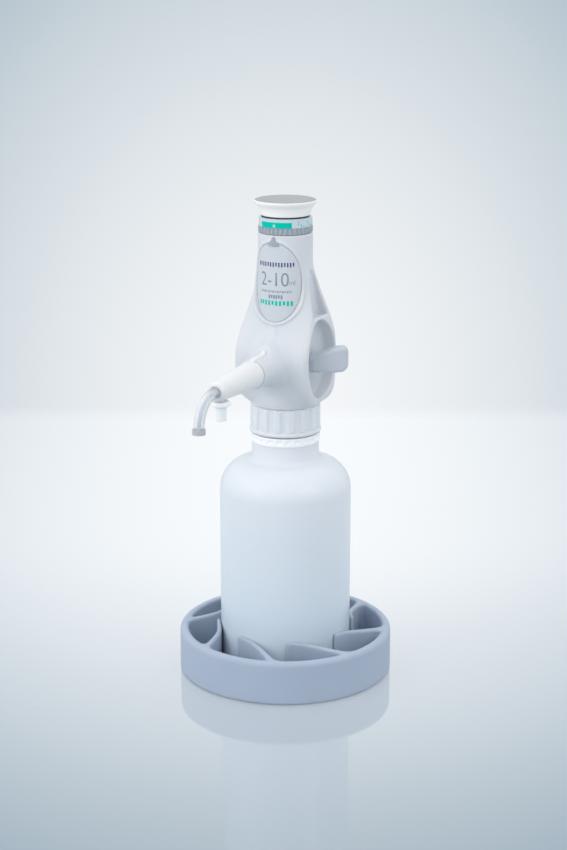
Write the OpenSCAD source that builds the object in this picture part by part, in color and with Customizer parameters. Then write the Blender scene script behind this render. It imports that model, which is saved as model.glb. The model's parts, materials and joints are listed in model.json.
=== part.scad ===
// Bottle-top dispenser on its bottle, standing in a soft finned ring.
// Millimetres, +Z up. The origin is on the bottle's axis, on the bench.
// The discharge arm points along -Y and the valve lever along +X.

/* [Stand ring] */
// Outer diameter of the ring
stand_d = 155.4; // [148:0.1:170]
// Height of the ring's wall
stand_h = 31.5; // [26:0.5:34]
// Thickness of the ring's wall
stand_wall = 6.2; // [5:0.1:9]
// Number of flexible fins inside the ring
fin_count = 8; // [6:1:10]
// Thickness of a fin at its free end
fin_t = 2.7; // [2:0.1:3.5]
// How far a fin's free end stands above the wall
fin_rise = 4.5; // [2:0.5:8]
// Angle that a fin sweeps from its root to its free end
fin_sweep = 35; // [28:1:38]

/* [Bottle] */
// Outer diameter of the bottle's body
bottle_d = 95; // [93:0.5:98]
// Wall thickness of the bottle
bottle_wall = 1.6; // [1.2:0.1:2]
// Height at which the rounded shoulder begins
shoulder_z = 137; // [125:1:150]
// Height of the rounded shoulder
shoulder_h = 22.5; // [21:0.5:25]
// Outer diameter of the plain neck under the tamper ring
neck_d = 48.4; // [47.6:0.1:48.8]
// Outer diameter of the neck in the thread zone
thread_zone_d = 43.2; // [42.6:0.1:43.4]
// Height of the bottle's mouth above the neck step
mouth_rise = 24.6; // [23:0.1:26]

/* [Screw collar] */
// Diameter over the grip ribs
collar_d = 50.4; // [50:0.1:51.4]
// Number of grip ribs
rib_count = 16; // [12:1:20]
// Diameter of the bottom flange
collar_flange_d = 51.6; // [51.4:0.1:54]
// Height of the bottom flange
collar_flange_h = 2.7; // [2:0.1:3.5]

/* [Housing] */
// Diameter of the upper column
column_d = 38.3; // [38:0.1:39.4]
// Greatest half-width of the side lobes
lobe_half_w = 27.9; // [27:0.1:30]
// Greatest half-depth of the side lobes
lobe_half_d = 26.6; // [25:0.1:29]
// Height of the valve axis above the housing's lower edge
valve_rise = 32; // [31:0.5:33]
// Height of the housing from its lower edge to its top face
housing_h = 122.6; // [120:0.2:126]
// Width of the rim left round the side recess
rim_w = 5; // [4:0.5:6]
// Distance of the dish floor from the middle
dish_floor_x = 18.2; // [17.9:0.1:18.6]

/* [Dosing mechanism] */
// Diameter of the ceramic piston
piston_d = 17.9; // [17:0.1:18.2]
// Wall of the glass measuring cylinder
glass_wall = 2.2; // [1.8:0.1:2.3]
// Radius of the valve spindle
spindle_r = 4; // [3.5:0.1:4.3]
// Radius of the intake ball
ball_r = 2.6; // [2.2:0.1:2.8]

/* [Knob and scale] */
// Diameter of the push knob's rim
knob_d = 44.2; // [42:0.1:48]
// Height of the push knob
knob_h = 11.1; // [10.4:0.1:14]
// Height of the knurled grip ring
grip_h = 4.7; // [4:0.1:6]
// Number of ribs on the grip ring
grip_count = 36; // [30:1:40]
// Height of the scale band
scale_h = 6.3; // [5.5:0.1:8]

/* [Label] */
// Half-height of the oval label plate
label_half_h = 27.8; // [25:0.1:28.2]
// Half-width of the oval label plate, seen from the front
label_half_w = 17.2; // [15:0.1:17.4]
// Thickness of the label plate
label_t = 1.2; // [1:0.1:1.5]

/* [Discharge arm] */
// Distance of the arm's end from the bottle's axis
arm_reach = 109.5; // [104:0.5:116]
// Radius of the arm at its root
arm_root_r = 9.7; // [9:0.1:10]
// Radius of the arm at its end
arm_end_r = 6.7; // [6.2:0.1:7.5]
// Distance of the boss face from the bottle's axis
boss_reach = 54.5; // [51:0.5:58]
// Outer radius of the nozzle tube
nozzle_r = 3.6; // [3:0.05:3.8]
// Radius of the nozzle's bend
bend_r = 20; // [17:0.5:22]
// Straight drop below the bend
nozzle_drop = 2.5; // [2.2:0.1:8]

/* [Fits] */
// Gap between pieces that move past each other
gap = 0.3; // [0.3:0.05:0.4]
// Radial clearance of a running fit
fit = 0.05; // [0.02:0.01:0.08]

/* [Hidden] */
$fn = 96;

eps = 0.01;
stand_r = stand_d / 2;
bottle_r = bottle_d / 2;
neck_r = neck_d / 2;
thread_r = thread_zone_d / 2;
collar_r = collar_d / 2;
column_r = column_d / 2;

// Stack of heights, from the bench upwards
shoulder_top_z = shoulder_z + shoulder_h;
neck_fillet = 3;
neck_plain_h = 10.9;
neck_step_z = shoulder_top_z + neck_fillet + neck_plain_h;
tamper_h = 6.2;
collar_gap_z = 1.1;
collar_z = neck_step_z + tamper_h + collar_gap_z;
mouth_z = neck_step_z + mouth_rise;
seal_h = 1.5;
flange_h = 3;
flange_z = mouth_z + seal_h;
collar_lip_h = 1.8;
collar_top_z = flange_z + flange_h + gap + collar_lip_h;
skirt_h = 4;
housing_z = collar_top_z + gap - skirt_h;
valve_z = housing_z + valve_rise;
housing_top_z = housing_z + housing_h;
floor_z = housing_z + skirt_h;
grip_z = housing_top_z + gap;
scale_z = grip_z + grip_h;
scale_top_z = scale_z + scale_h;
buffer_z = scale_top_z + gap;
buffer_h = 0.7;
knob_z = buffer_z + buffer_h;
knob_top_z = knob_z + knob_h;

// Radii from the piston outwards
piston_r = piston_d / 2;
glass_in_r = piston_r + fit;
glass_r = glass_in_r + glass_wall;
block_r = glass_r + 2.4;
plunger_in_r = glass_r + 1;
plunger_wall = 1.4;
plunger_r = plunger_in_r + plunger_wall;
sleeve_in_r = plunger_r + gap;
sleeve_r = sleeve_in_r + 1.1;
nut_in_r = sleeve_r + gap;
nut_r = nut_in_r + 0.9;
shaft_bore_r = nut_r + gap;

// Valve block and measuring cylinder. What the block, the piston and the nut take up above the
// valve axis isn't free for the stroke
works_h = 51.3;
stroke = housing_h - valve_rise - works_h;
block_neck_r = 16.8;
block_flange_r = thread_r - 1.1;
block_top_z = valve_z + 13.5;
cup_h = 4;
glass_below_top = 8.1;
glass_top_z = housing_top_z - glass_below_top;
seal_r = 0.68;
seal_mid_r = (glass_r + block_r - 1) / 2;

// Sleeve, nut and plunger tube, measured down from the housing's top
sleeve_below = 8;
nut_below = 7.5;
nut_h = 6;
plunger_below = 20;
sleeve_low_z = housing_top_z - stroke - sleeve_below;
nut_z = housing_top_z - stroke - nut_below;
plunger_low_z = housing_top_z - stroke - plunger_below;

// Collar
collar_root_r = collar_r - 0.9;
collar_bore_r = thread_r + 0.5;
collar_neck_r = collar_bore_r + 1.2;
collar_lip_r = block_neck_r + gap;
skirt_in_r = collar_neck_r + gap;
skirt_r = skirt_in_r + 1.2;

// Intake line
duct_r = 1.9;
seat_r = 4.5;
seat_h = 8;
seat_z = flange_z + 1.4;
seat_top_z = seat_z + seat_h;
seat_bore_r = 1.4;
nipple_r = 1.9;
nipple_h = 9;
ball_lift = 1.2;
ball_z = seat_top_z + sqrt(ball_r * ball_r - seat_bore_r * seat_bore_r) + fit;
chamber_r = ball_r + 0.5;
chamber_top_z = ball_z + ball_r + ball_lift + 1;
intake_r = 3;
intake_bottom_z = 7;
recirc_r = 2;
recirc_x = 10.5;
recirc_len = 26;
recirc_in = 8;

// Discharge line
discharge_ball_r = 2.2;
dseat_r = 5.2;
dseat_near = block_r + gap;
dseat_mid = dseat_near + 6;
dseat_far = dseat_mid + 6.4;
dball_y = dseat_mid + sqrt(discharge_ball_r * discharge_ball_r - seat_bore_r * seat_bore_r) + fit;
line_r = 2.5;
line_in_r = 1.4;
line_end = arm_reach - 6;
boss_bore_r = dseat_r + fit;
arm_gap = 0.15;
boss_face_r = arm_root_r + 0.7;
latch_w = 5;
latch_in = 19;
latch_out = 3;
latch_h = 2.4;
latch_proud = 0.5;

// Closure cap under the arm's end
cap_y = arm_reach - 8;
cap_flange_r = 6.5;
cap_flange_h = 3.4;
cap_r = 3.9;
cap_h = 13.8;
cap_top_z = valve_z - arm_end_r - 0.6;
peg_r = 2.6;
peg_len = 7;

// Spindle, and its seal ring in the housing's side wall
spindle_in_x = block_r - 2;
spindle_seal_r = 0.75;
spindle_seal_mid = spindle_r + 0.08 + spindle_seal_r;
spindle_seal_x = block_r + gap + spindle_seal_r + 0.35;

// Lever
hub_r = 6.4;
lever_near_x = dish_floor_x + gap;
lever_wide_x = 27;
lever_end_x = 49;
lever_low = 6.1;
lever_high = 14;
lever_hub_high = 6.6;
lever_half_near = 9.6;
lever_half_far = 2.6;
lever_round = 2.2;
lever_heel = [8, 7];
lever_toe = [5.5, 5];

// Label oval
label_drop = 5.1;
label_mid_z = housing_top_z - label_drop - label_half_h;
label_in_r = column_r - 0.6;
border_w = 1.7;
border_t = label_t - 0.2;

// Knob
knob_low_r = 17.3;
knob_rim_r = knob_d / 2;
knob_disc_r = knob_rim_r - 0.7;
knob_wall = 2;
rod_r = 4.4;
rod_nut_r = 7.4;
rod_nut_h = 4;
piston_h = 23;
piston_z = block_top_z + 2.4;

// Piecewise curve through height-and-value pairs, eased between them
function curve(p, z) =
  z <= p[0][0] ? p[0][1]
  : z >= p[len(p) - 1][0] ? p[len(p) - 1][1]
  : let (i = max([for (k = [0 : len(p) - 2]) if (p[k][0] <= z) k]),
      d = p[i + 1][0] - p[i][0],
      t = (z - p[i][0]) / d,
      m0 = i == 0 ? (p[1][1] - p[0][1]) / d : (p[i + 1][1] - p[i - 1][1]) / (p[i + 1][0] - p[i - 1][0]),
      m1 = i == len(p) - 2 ? (p[i + 1][1] - p[i][1]) / d
        : (p[i + 2][1] - p[i][1]) / (p[i + 2][0] - p[i][0]))
    (1 + 2 * t) * (1 - t) * (1 - t) * p[i][1] + t * (1 - t) * (1 - t) * d * m0
    + t * t * (3 - 2 * t) * p[i + 1][1] + t * t * (t - 1) * d * m1;

// Outline of the side lobes: heights are measured from the valve axis. The lobes reach further to
// the rear than to the front
lobe_x = [[-32, lobe_half_w - 7], [-29, lobe_half_w - 2.8], [-24, lobe_half_w - 0.7],
  [-16, lobe_half_w - 0.1], [0, lobe_half_w], [14, lobe_half_w], [22, lobe_half_w - 0.6],
  [34, lobe_half_w - 2.6], [50, lobe_half_w - 6.4], [62, lobe_half_w - 9.2], [72, lobe_half_w - 14]];
lobe_front = [[-32, lobe_half_d - 20.6], [-29, lobe_half_d - 13.6], [-24, lobe_half_d - 6.6],
  [-16, lobe_half_d - 1.6], [0, lobe_half_d], [10, lobe_half_d - 1.8], [21, lobe_half_d - 7.2],
  [34, lobe_half_d - 14], [50, lobe_half_d - 19.6], [62, lobe_half_d - 21.6], [72, lobe_half_d - 23]];
lobe_rear = [[-32, lobe_half_d - 8.6], [-29, lobe_half_d - 3.6], [-24, lobe_half_d - 0.8],
  [-16, lobe_half_d + 0.6], [0, lobe_half_d + 1.4], [10, lobe_half_d + 1.2], [21, lobe_half_d - 1],
  [34, lobe_half_d - 5.8], [50, lobe_half_d - 12], [62, lobe_half_d - 17.6], [72, lobe_half_d - 23]];
core_r = [[-32, skirt_r - 0.2], [-16, skirt_r - 1.4], [6, column_r + 2.4], [30, column_r],
  [72, column_r]];
lobe_levels = [-31.5, -30.6, -29, -27, -24, -20, -14, -5, 6, 14, 21, 28, 35, 42, 49, 56, 62, 67, 72,
  housing_top_z - valve_z - 0.7, housing_top_z - valve_z];
blend_power = 9;
edge_r = 3.5;

// Point of the housing's section at one height, for one direction of its surface
function section_point(x, front, rear, core, a) =
  let (ax = max(x - edge_r, 1), ay = max((sin(a) < 0 ? front : rear) - edge_r, 0.3),
    sx = sign(cos(a)), sy = sign(sin(a)),
    lobe = abs(cos(a)) * ax + abs(sin(a)) * ay + edge_r,
    turn = -sin(a) * sx * ax + cos(a) * sy * ay,
    both = pow(pow(lobe, blend_power) + pow(core, blend_power), 1 / blend_power),
    slope = pow(lobe / both, blend_power - 1) * turn)
  [both * cos(a) - slope * sin(a), both * sin(a) + slope * cos(a)];

section_count = 48;
function section(z, inset) =
  [for (k = [0 : section_count - 1])
    let (a = (k + 0.5) * 360 / section_count, p = section_point(curve(lobe_x, z), curve(lobe_front, z),
      curve(lobe_rear, z), curve(core_r, z) - inset, a))
    [p[0], p[1], valve_z + z]];

function ring_sides(rings, n) =
  [for (i = [0 : rings - 2]) for (k = [0 : n - 1])
    [(i + 1) * n + k, (i + 1) * n + (k + 1) % n, i * n + (k + 1) % n, i * n + k]];

module lobes() {
  last = len(lobe_levels) - 1;
  points = [for (i = [0 : last]) each section(lobe_levels[i], i == last ? 0.6 : 0)];
  top = last * section_count;
  polyhedron(points, concat(
    [[for (k = [0 : section_count - 1]) k]],
    ring_sides(len(lobe_levels), section_count),
    [[for (k = [section_count - 1 : -1 : 0]) top + k]]));
}

// Tube between two heights
module tube(outer, inner, low, high) {
  translate([0, 0, low])
    difference() {
      cylinder(r = outer, h = high - low);
      translate([0, 0, -1]) cylinder(r = inner, h = high - low + 2);
    }
}

// Round bar along -Y at the valve's height, between two distances from the middle
module bar_y(r, near, far) {
  translate([0, -near, valve_z]) rotate([90, 0, 0]) cylinder(r = r, h = far - near);
}

// Upright oval, half_w wide and half_h high, with its middle at the label's middle
module label_prism(grow, depth) {
  n = 56;
  w = label_half_w + grow;
  h = label_half_h + grow;
  // a fuller upper half and a narrower lower half, as an egg standing on its tip
  pts = [for (k = [0 : n - 1]) let (a = k * 360 / n, s = 1 + 0.06 * sin(a))
    [w * s * cos(a) / 1.02, h * sin(a)]];
  translate([0, 0, label_mid_z]) rotate([90, 0, 0]) linear_extrude(depth) polygon(pts);
}

module shell_band(inner, outer) {
  tube(outer, inner, label_mid_z - label_half_h - 4, label_mid_z + label_half_h + 4);
}

// Side recess: an oval dish under a channel that narrows upwards
dish_back = 1.4;
dish_half_w = lobe_half_d - rim_w + 1.2;
dish_half_h = dish_half_w + 5.2;
dish_up = 1.4;
channel_low = 31.4;
channel_high = 64.5;
channel_front = [[31, -8.6], [37, -7.6], [49, -5.2], [57, -3.9], [64.5, -1.5]];
channel_rear = [[31, 16], [37, 13.6], [49, 9], [57, 6], [64.5, 2.2]];
module recess(side) {
  n = 48;
  steps = 9;
  dish = [for (k = [0 : n - 1]) let (a = k * 360 / n)
    [dish_back + dish_half_w * cos(a), dish_up + dish_half_h * sin(a)]];
  heights = [for (k = [0 : steps]) channel_low + (channel_high - channel_low) * k / steps];
  channel = concat([for (z = heights) [curve(channel_rear, z), z]],
    [for (k = [steps : -1 : 0]) [curve(channel_front, heights[k]), heights[k]]]);
  mirror([side > 0 ? 0 : 1, 0, 0]) {
    translate([dish_floor_x, 0, valve_z]) rotate([90, 0, 90]) linear_extrude(20) polygon(dish);
    translate([column_r - 0.4, 0, valve_z]) rotate([90, 0, 90]) linear_extrude(20) polygon(channel);
  }
}

module boss_profile() {
  polygon([[0, dseat_near], [28, dseat_near], [24, 19.5], [20, 22.5], [17, 25.5], [14.8, 28.5],
    [13.2, 31.5], [12.1, 35], [boss_face_r + 0.7, 40], [boss_face_r + 0.2, boss_reach - 0.8],
    [boss_face_r - 0.5, boss_reach], [0, boss_reach]]);
}

module stand_wall_profile() {
  r_top = 3.2;
  r_in = 1.6;
  difference() {
    union() {
      translate([stand_r - stand_wall, 0]) square([stand_wall - r_top, stand_h - r_in]);
      translate([stand_r - stand_wall + r_in, 0]) square([stand_wall - r_top - r_in, stand_h]);
      translate([stand_r - stand_wall + r_in, stand_h - r_in]) circle(r = r_in);
      translate([stand_r - r_top - eps, 1.5]) square([r_top + eps, stand_h - r_top - 1.5]);
      translate([stand_r - r_top, stand_h - r_top]) circle(r = r_top);
      translate([stand_r - r_top - eps, 0]) square([r_top - 1.5, 2]);
      translate([stand_r - 1.5 - 0.5, 1.5]) circle(r = 1.5);
    }
    translate([stand_r - stand_wall, -5]) square([stand_wall + 2, 5]);
  }
}

// Plan of one fin: from its free end it hugs the bottle, then it swings out to the wall
fin_end_r = bottle_r + gap;
fin_end_mid_r = fin_end_r + fin_t / 2;
fin_root_mid_r = stand_r - stand_wall;
fin_root_t = 4.8;
fin_first = 27.5;
fin_curl = 3.3;
function fin_mid(t) =
  let (r = fin_end_mid_r + (fin_root_mid_r - fin_end_mid_r) * pow(max(t, 0), fin_curl), a = fin_sweep * t)
  [r * cos(a), r * sin(a)];
function fin_normal(t) =
  let (d = fin_mid(t + 0.02) - fin_mid(t - 0.02), l = norm(d))
  [-d[1] / l, d[0] / l];
function fin_half(t) = (fin_t + (fin_root_t - fin_t) * t * t) / 2;

module fin_plan() {
  n = 12;
  far = 1.04;
  one = [for (k = [0 : n]) let (t = far * k / n) fin_mid(t) + fin_normal(t) * fin_half(t)];
  two = [for (k = [n : -1 : 0]) let (t = far * k / n) fin_mid(t) - fin_normal(t) * fin_half(t)];
  polygon(concat(one, two));
}

module stand_ring() {
  color("#a9b6c8") {
    rotate_extrude() stand_wall_profile();
    intersection() {
      for (k = [0 : fin_count - 1]) rotate([0, 0, fin_first + k * 360 / fin_count])
        linear_extrude(stand_h + fin_rise) fin_plan();
      rotate_extrude() polygon([[fin_end_r, 0], [stand_r - 2, 0], [stand_r - 2, stand_h - 4],
        [fin_root_mid_r + 2, stand_h - 0.6], [fin_root_mid_r - 4, stand_h + 0.3],
        [fin_end_r + 12, stand_h + fin_rise * 0.25], [fin_end_r + 6, stand_h + fin_rise * 0.5],
        [fin_end_r + 2.4, stand_h + fin_rise], [fin_end_r + 0.8, stand_h + fin_rise],
        [fin_end_r, stand_h + fin_rise - 0.8]]);
    }
  }
}

function arc_points(cx, cz, a, b, from, to, n) =
  [for (k = [0 : n]) let (t = from + (to - from) * k / n) [cx + a * cos(t), cz + b * sin(t)]];

module bottle_half(in) {
  // outer profile, or the inner one when it is drawn in by the wall
  r = bottle_r - in;
  foot = 5;
  neck = neck_r - in;
  polygon(concat(
    [[0, in > 0 ? in + 2.6 : 0]],
    [[r - foot - 6, in > 0 ? in + 2.6 : 0]],
    arc_points(r - foot, foot + in, foot, foot, -90, 0, 6),
    arc_points(neck + 0.2, shoulder_z - in * 0.5, r - neck - 0.2, shoulder_h - in * 0.5, 0, 82, 14),
    [[neck, shoulder_top_z + neck_fillet]],
    in > 0 ? [[thread_r - in - 0.6, neck_step_z - 2], [thread_r - in - 0.6, mouth_z + 1], [0, mouth_z + 1]]
      : [[neck, neck_step_z - 0.5], [neck - 0.5, neck_step_z], [thread_r, neck_step_z],
        [thread_r, mouth_z - 0.6], [thread_r - 0.6, mouth_z], [0, mouth_z]]));
}

module bottle() {
  color("#d4dfe6")
    difference() {
      rotate_extrude() bottle_half(0);
      rotate_extrude() bottle_half(bottle_wall);
      // push-up base inside the foot ring
      translate([0, 0, -1]) cylinder(r1 = bottle_r - 10, r2 = bottle_r - 13, h = 2.8);
    }
}

module tamper_ring() {
  n = 24;
  color("#f6f9fb") difference() {
    tube(neck_r + 0.7, thread_r + gap, neck_step_z, neck_step_z + tamper_h);
    for (k = [0 : n - 1]) rotate([0, 0, k * 360 / n]) {
      translate([neck_r + 0.2, -1, neck_step_z + tamper_h - 1.5]) cube([3, 2, 3]);
      translate([neck_r + 0.25, 1.6, neck_step_z + 1.6]) cube([3, 3.2, 1.6]);
    }
  }
}

// Plan of the ribbed grip: each rib is a flat-topped wave
function wave(s) = s < 0.18 ? 0 : s < 0.32 ? (s - 0.18) / 0.14 : s < 0.86 ? 1 : (1 - s) / 0.14;
module ribbed(r_low, r_high, count, per) {
  polygon([for (k = [0 : count * per - 1])
    let (a = k * 360 / (count * per), r = r_low + (r_high - r_low) * wave((k % per) / per))
    [r * cos(a), r * sin(a)]]);
}

module screw_collar() {
  ribs_top = housing_z - gap;
  color("#e4e9f0") difference() {
    union() {
      translate([0, 0, collar_z]) cylinder(r = collar_flange_d / 2, h = collar_flange_h);
      translate([0, 0, collar_z + 1]) linear_extrude(ribs_top - collar_z - 1.8)
        ribbed(collar_root_r, collar_r, rib_count, 9);
      translate([0, 0, collar_z + 1]) cylinder(r = collar_root_r, h = ribs_top - collar_z - 1);
      translate([0, 0, collar_z + 1]) cylinder(r = collar_neck_r, h = collar_top_z - collar_z - 1);
    }
    translate([0, 0, collar_z - 1]) cylinder(r = collar_bore_r, h = flange_z + flange_h + gap - collar_z + 1);
    translate([0, 0, collar_z]) cylinder(r = collar_lip_r, h = 40);
  }
}

module neck_seal() {
  color("#e9e6df") tube(block_flange_r, 15.4, mouth_z + gap, flange_z);
}

module ridge_ball(ahead, up, r) {
  translate([0, -ahead, valve_z + up]) sphere(r = r, $fn = 24);
}

module housing() {
  color("#dfe4eb") difference() {
    union() {
      lobes();
      translate([0, 0, housing_z]) cylinder(r = skirt_r, h = 8);
      translate([0, 0, valve_z]) rotate([90, 0, 0]) rotate_extrude() boss_profile();
      // ridge that sweeps up from the boss to the label and narrows on its way
      hull() {
        translate([0, -column_r + 3, label_mid_z - label_half_h]) sphere(r = 2.8, $fn = 24);
        ridge_ball(21, 14.5, 5.5);
      }
      hull() {
        ridge_ball(21, 14.5, 5.5);
        ridge_ball(28, 9, 9);
        ridge_ball(24, 2, 9);
      }
      // raised border round the label
      intersection() {
        shell_band(column_r - 2, column_r + border_t);
        label_prism(border_w, 40);
      }
    }
    // seat of the label plate
    intersection() {
      shell_band(label_in_r, column_r + 14);
      label_prism(0.1, 40);
    }
    recess(1);
    recess(-1);
    // inside: skirt, floor, valve block, shaft and top
    translate([0, 0, housing_z - 1]) cylinder(r = skirt_in_r, h = skirt_h + 1);
    translate([0, 0, housing_z]) cylinder(r = block_neck_r + gap, h = valve_z - 23 - housing_z);
    translate([0, 0, housing_z]) cylinder(r = plunger_r + gap, h = sleeve_low_z - 3 - housing_z);
    translate([0, 0, sleeve_low_z - 5]) cylinder(r = shaft_bore_r, h = housing_top_z - sleeve_low_z + 6);
    // spindle and discharge line
    translate([0, 0, valve_z]) rotate([0, 90, 0]) cylinder(r = spindle_r + gap, h = 40);
    translate([0, 0, valve_z]) rotate([0, 90, 0])
      cylinder(r = spindle_seal_mid + spindle_seal_r + fit, h = spindle_seal_x + spindle_seal_r);
    bar_y(boss_bore_r, 5, boss_reach + 5);
    latch_box(0.1, 4);
  }
}

module label_plate() {
  color("#e9edf2") intersection() {
    shell_band(label_in_r + eps, label_in_r + label_t);
    label_prism(0, 40);
  }
}

module pointer() {
  w = 4.3;
  base_z = housing_top_z - 7;
  tip_z = housing_top_z - 0.6;
  color("#a4b0bc") intersection() {
    tube(column_r + border_t + 1, column_r + border_t + eps, base_z - 1, tip_z + 1);
    rotate([90, 0, 0]) linear_extrude(30)
      polygon([[-w, base_z], [w, base_z], [0.3, tip_z], [-0.3, tip_z]]);
  }
}

module valve_block() {
  color("#f0f1ee") difference() {
    union() {
      translate([0, 0, flange_z]) cylinder(r = block_flange_r, h = flange_h);
      translate([0, 0, flange_z]) cylinder(r = block_neck_r, h = valve_z - 23.3 - flange_z);
      translate([0, 0, flange_z]) cylinder(r = block_r, h = block_top_z + cup_h - flange_z);
    }
    translate([0, 0, block_top_z]) cylinder(r = block_r - 1, h = cup_h + 1);
    translate([0, 0, flange_z - 1]) cylinder(r = duct_r, h = block_top_z + cup_h - flange_z + 2);
    translate([0, 0, flange_z - 1]) cylinder(r = seat_r, h = seat_top_z - flange_z + 1);
    translate([0, 0, seat_z]) cylinder(r = chamber_r, h = chamber_top_z - seat_z);
    translate([-spindle_in_x - gap, 0, valve_z]) rotate([0, 90, 0])
      cylinder(r = spindle_r + fit, h = 2 * block_r);
    bar_y(duct_r, 0, block_r + 1);
    // return duct to the bottle
    translate([-recirc_x, 0, flange_z - 1]) cylinder(r = recirc_r + fit, h = recirc_in + 1);
    translate([-recirc_x, 0, flange_z]) cylinder(r = 1, h = valve_z - flange_z);
  }
}

module cylinder_seal() {
  color("#5b646e") translate([0, 0, block_top_z + seal_r + 0.4]) rotate_extrude()
    translate([seal_mid_r, 0]) circle(r = seal_r, $fn = 32);
}

module measuring_cylinder() {
  color("#cfe3ea") tube(glass_r, glass_in_r, block_top_z, glass_top_z);
}

module intake_valve_seat() {
  color("#e8dfc8") difference() {
    union() {
      translate([0, 0, seat_z]) cylinder(r = seat_r - fit, h = seat_h);
      translate([0, 0, seat_z - nipple_h]) cylinder(r = nipple_r, h = nipple_h + 1);
    }
    translate([0, 0, seat_z - nipple_h - 1]) cylinder(r = seat_bore_r, h = 40);
  }
}

module intake_ball() {
  color("#f7f3ea") translate([0, 0, ball_z]) sphere(r = ball_r, $fn = 48);
}

module intake_tube() {
  color("#e3ebee") tube(intake_r, nipple_r + fit, intake_bottom_z, seat_z - 0.2);
}

module recirculation_tube() {
  color("#e3ebee") translate([-recirc_x, 0, 0])
    tube(recirc_r, 1, flange_z - recirc_len, flange_z + recirc_in - 0.2);
}

module discharge_valve_seat() {
  color("#e8dfc8") difference() {
    bar_y(dseat_r, dseat_near, dseat_far);
    bar_y(seat_bore_r, dseat_near - 1, dseat_far);
    bar_y(discharge_ball_r + 0.4, dseat_mid, dseat_far + 1);
  }
}

module discharge_ball() {
  color("#f7f3ea") translate([0, -dball_y, valve_z]) sphere(r = discharge_ball_r, $fn = 48);
}

module discharge_tube() {
  color("#dbe7ee") difference() {
    union() {
      bar_y(line_r, dseat_far, line_end);
      bar_y(dseat_r, dseat_far, dseat_far + 3);
    }
    bar_y(line_in_r, dseat_far - 1, line_end + 1);
  }
}

module discharge_arm() {
  near = boss_reach + arm_gap;
  mouth_len = 6.2;
  color("#e8eaee") difference() {
    union() {
      translate([0, -near, valve_z]) rotate([90, 0, 0]) rotate_extrude()
        polygon([[0, 0], [arm_root_r - 0.6, 0], [arm_root_r, 0.8], [arm_end_r + 0.3, arm_reach - near - 7],
          [arm_end_r, arm_reach - near - 1], [arm_end_r - 1, arm_reach - near], [0, arm_reach - near]]);
      bar_y(dseat_r - 0.1, dseat_far + 3.1, near + 1);
      // peg that the closure cap is parked on
      translate([0, -cap_y, cap_top_z - peg_len]) cylinder(r = peg_r, h = peg_len + 3);
    }
    bar_y(line_r + 0.1, 0, arm_reach + 1);
    bar_y(nozzle_r + fit, arm_reach - mouth_len, arm_reach + 1);
    latch_box(0.1, 4);
  }
}

// Tongue that lies in a slot across the seam between arm and boss
module latch_box(grow, up) {
  translate([-latch_w / 2 - grow, -boss_reach - latch_out - grow,
      valve_z + boss_face_r + latch_proud - latch_h - grow])
    cube([latch_w + 2 * grow, latch_out + latch_in + 2 * grow, latch_h + grow + up]);
}

module arm_latch() {
  color("#dde1e8") latch_box(0, 0);
}

nozzle_ahead = 3.9;
nozzle_collar_h = 3.3;
module nozzle_path(r, over) {
  start = arm_reach - 6;
  turn = arm_reach + nozzle_ahead;
  bar_y(r, start - over, turn + eps);
  translate([0, -turn, valve_z - bend_r]) rotate([90, 0, -90]) rotate_extrude(angle = 90)
    translate([bend_r, 0]) circle(r = r, $fn = 48);
  translate([0, -turn - bend_r, valve_z - bend_r - nozzle_drop - over])
    cylinder(r = r, h = nozzle_drop + over + eps);
}

module nozzle_tube() {
  color("#d3e4ee") difference() {
    nozzle_path(nozzle_r, 0);
    nozzle_path(1.2, 1);
  }
}

nozzle_y = arm_reach + nozzle_ahead + bend_r;
tip_z = valve_z - bend_r - nozzle_drop;
module nozzle_collar() {
  color("#7f8790") translate([0, -nozzle_y, 0]) tube(nozzle_r + 0.85, nozzle_r + fit, tip_z, tip_z + nozzle_collar_h);
}

module closure_cap() {
  color("#eceef1") translate([0, -cap_y, 0]) difference() {
    union() {
      translate([0, 0, cap_top_z - cap_flange_h]) cylinder(r = cap_flange_r, h = cap_flange_h - 0.3);
      translate([0, 0, cap_top_z - cap_h]) cylinder(r = cap_r, h = cap_h - 1);
    }
    translate([0, 0, cap_top_z - peg_len - 1]) cylinder(r = peg_r + fit, h = peg_len + 2);
  }
}

module valve_spindle() {
  color("#e9eaea") difference() {
    translate([-spindle_in_x, 0, valve_z]) rotate([0, 90, 0])
      cylinder(r = spindle_r, h = spindle_in_x + lever_near_x + 6);
    translate([0, 0, valve_z - 9]) cylinder(r = duct_r - 0.2, h = 18);
    bar_y(duct_r - 0.2, 0, 9);
  }
}

// Side outline of the wing handle, seen along Y
module lever_side() {
  r = lever_round;
  x0 = lever_near_x + 3.5;
  polygon(concat(
    arc_points(x0 + r, -lever_low + r, r, r, 180, 270, 4),
    arc_points(lever_end_x - lever_heel[0], -lever_low + lever_heel[1], lever_heel[0], lever_heel[1],
      270, 350, 8),
    arc_points(lever_end_x - lever_toe[0], lever_high - lever_toe[1], lever_toe[0], lever_toe[1], 5, 92, 7),
    [[lever_wide_x + 3, lever_hub_high + 2.2], [lever_wide_x - 2, lever_hub_high + 0.2]],
    arc_points(x0 + r, lever_hub_high - r, r, r, 90, 180, 4)));
}

// Plan outline of the wing handle: wide at the hub, thin at its outer end
module lever_plan() {
  far = lever_half_far;
  polygon(concat([[lever_near_x, -lever_half_near]],
    [[lever_wide_x - 1, -lever_half_near]],
    arc_points(lever_end_x - far, 0, far, far, -75, 75, 6),
    [[lever_wide_x - 1, lever_half_near], [lever_near_x, lever_half_near]]));
}

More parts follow.
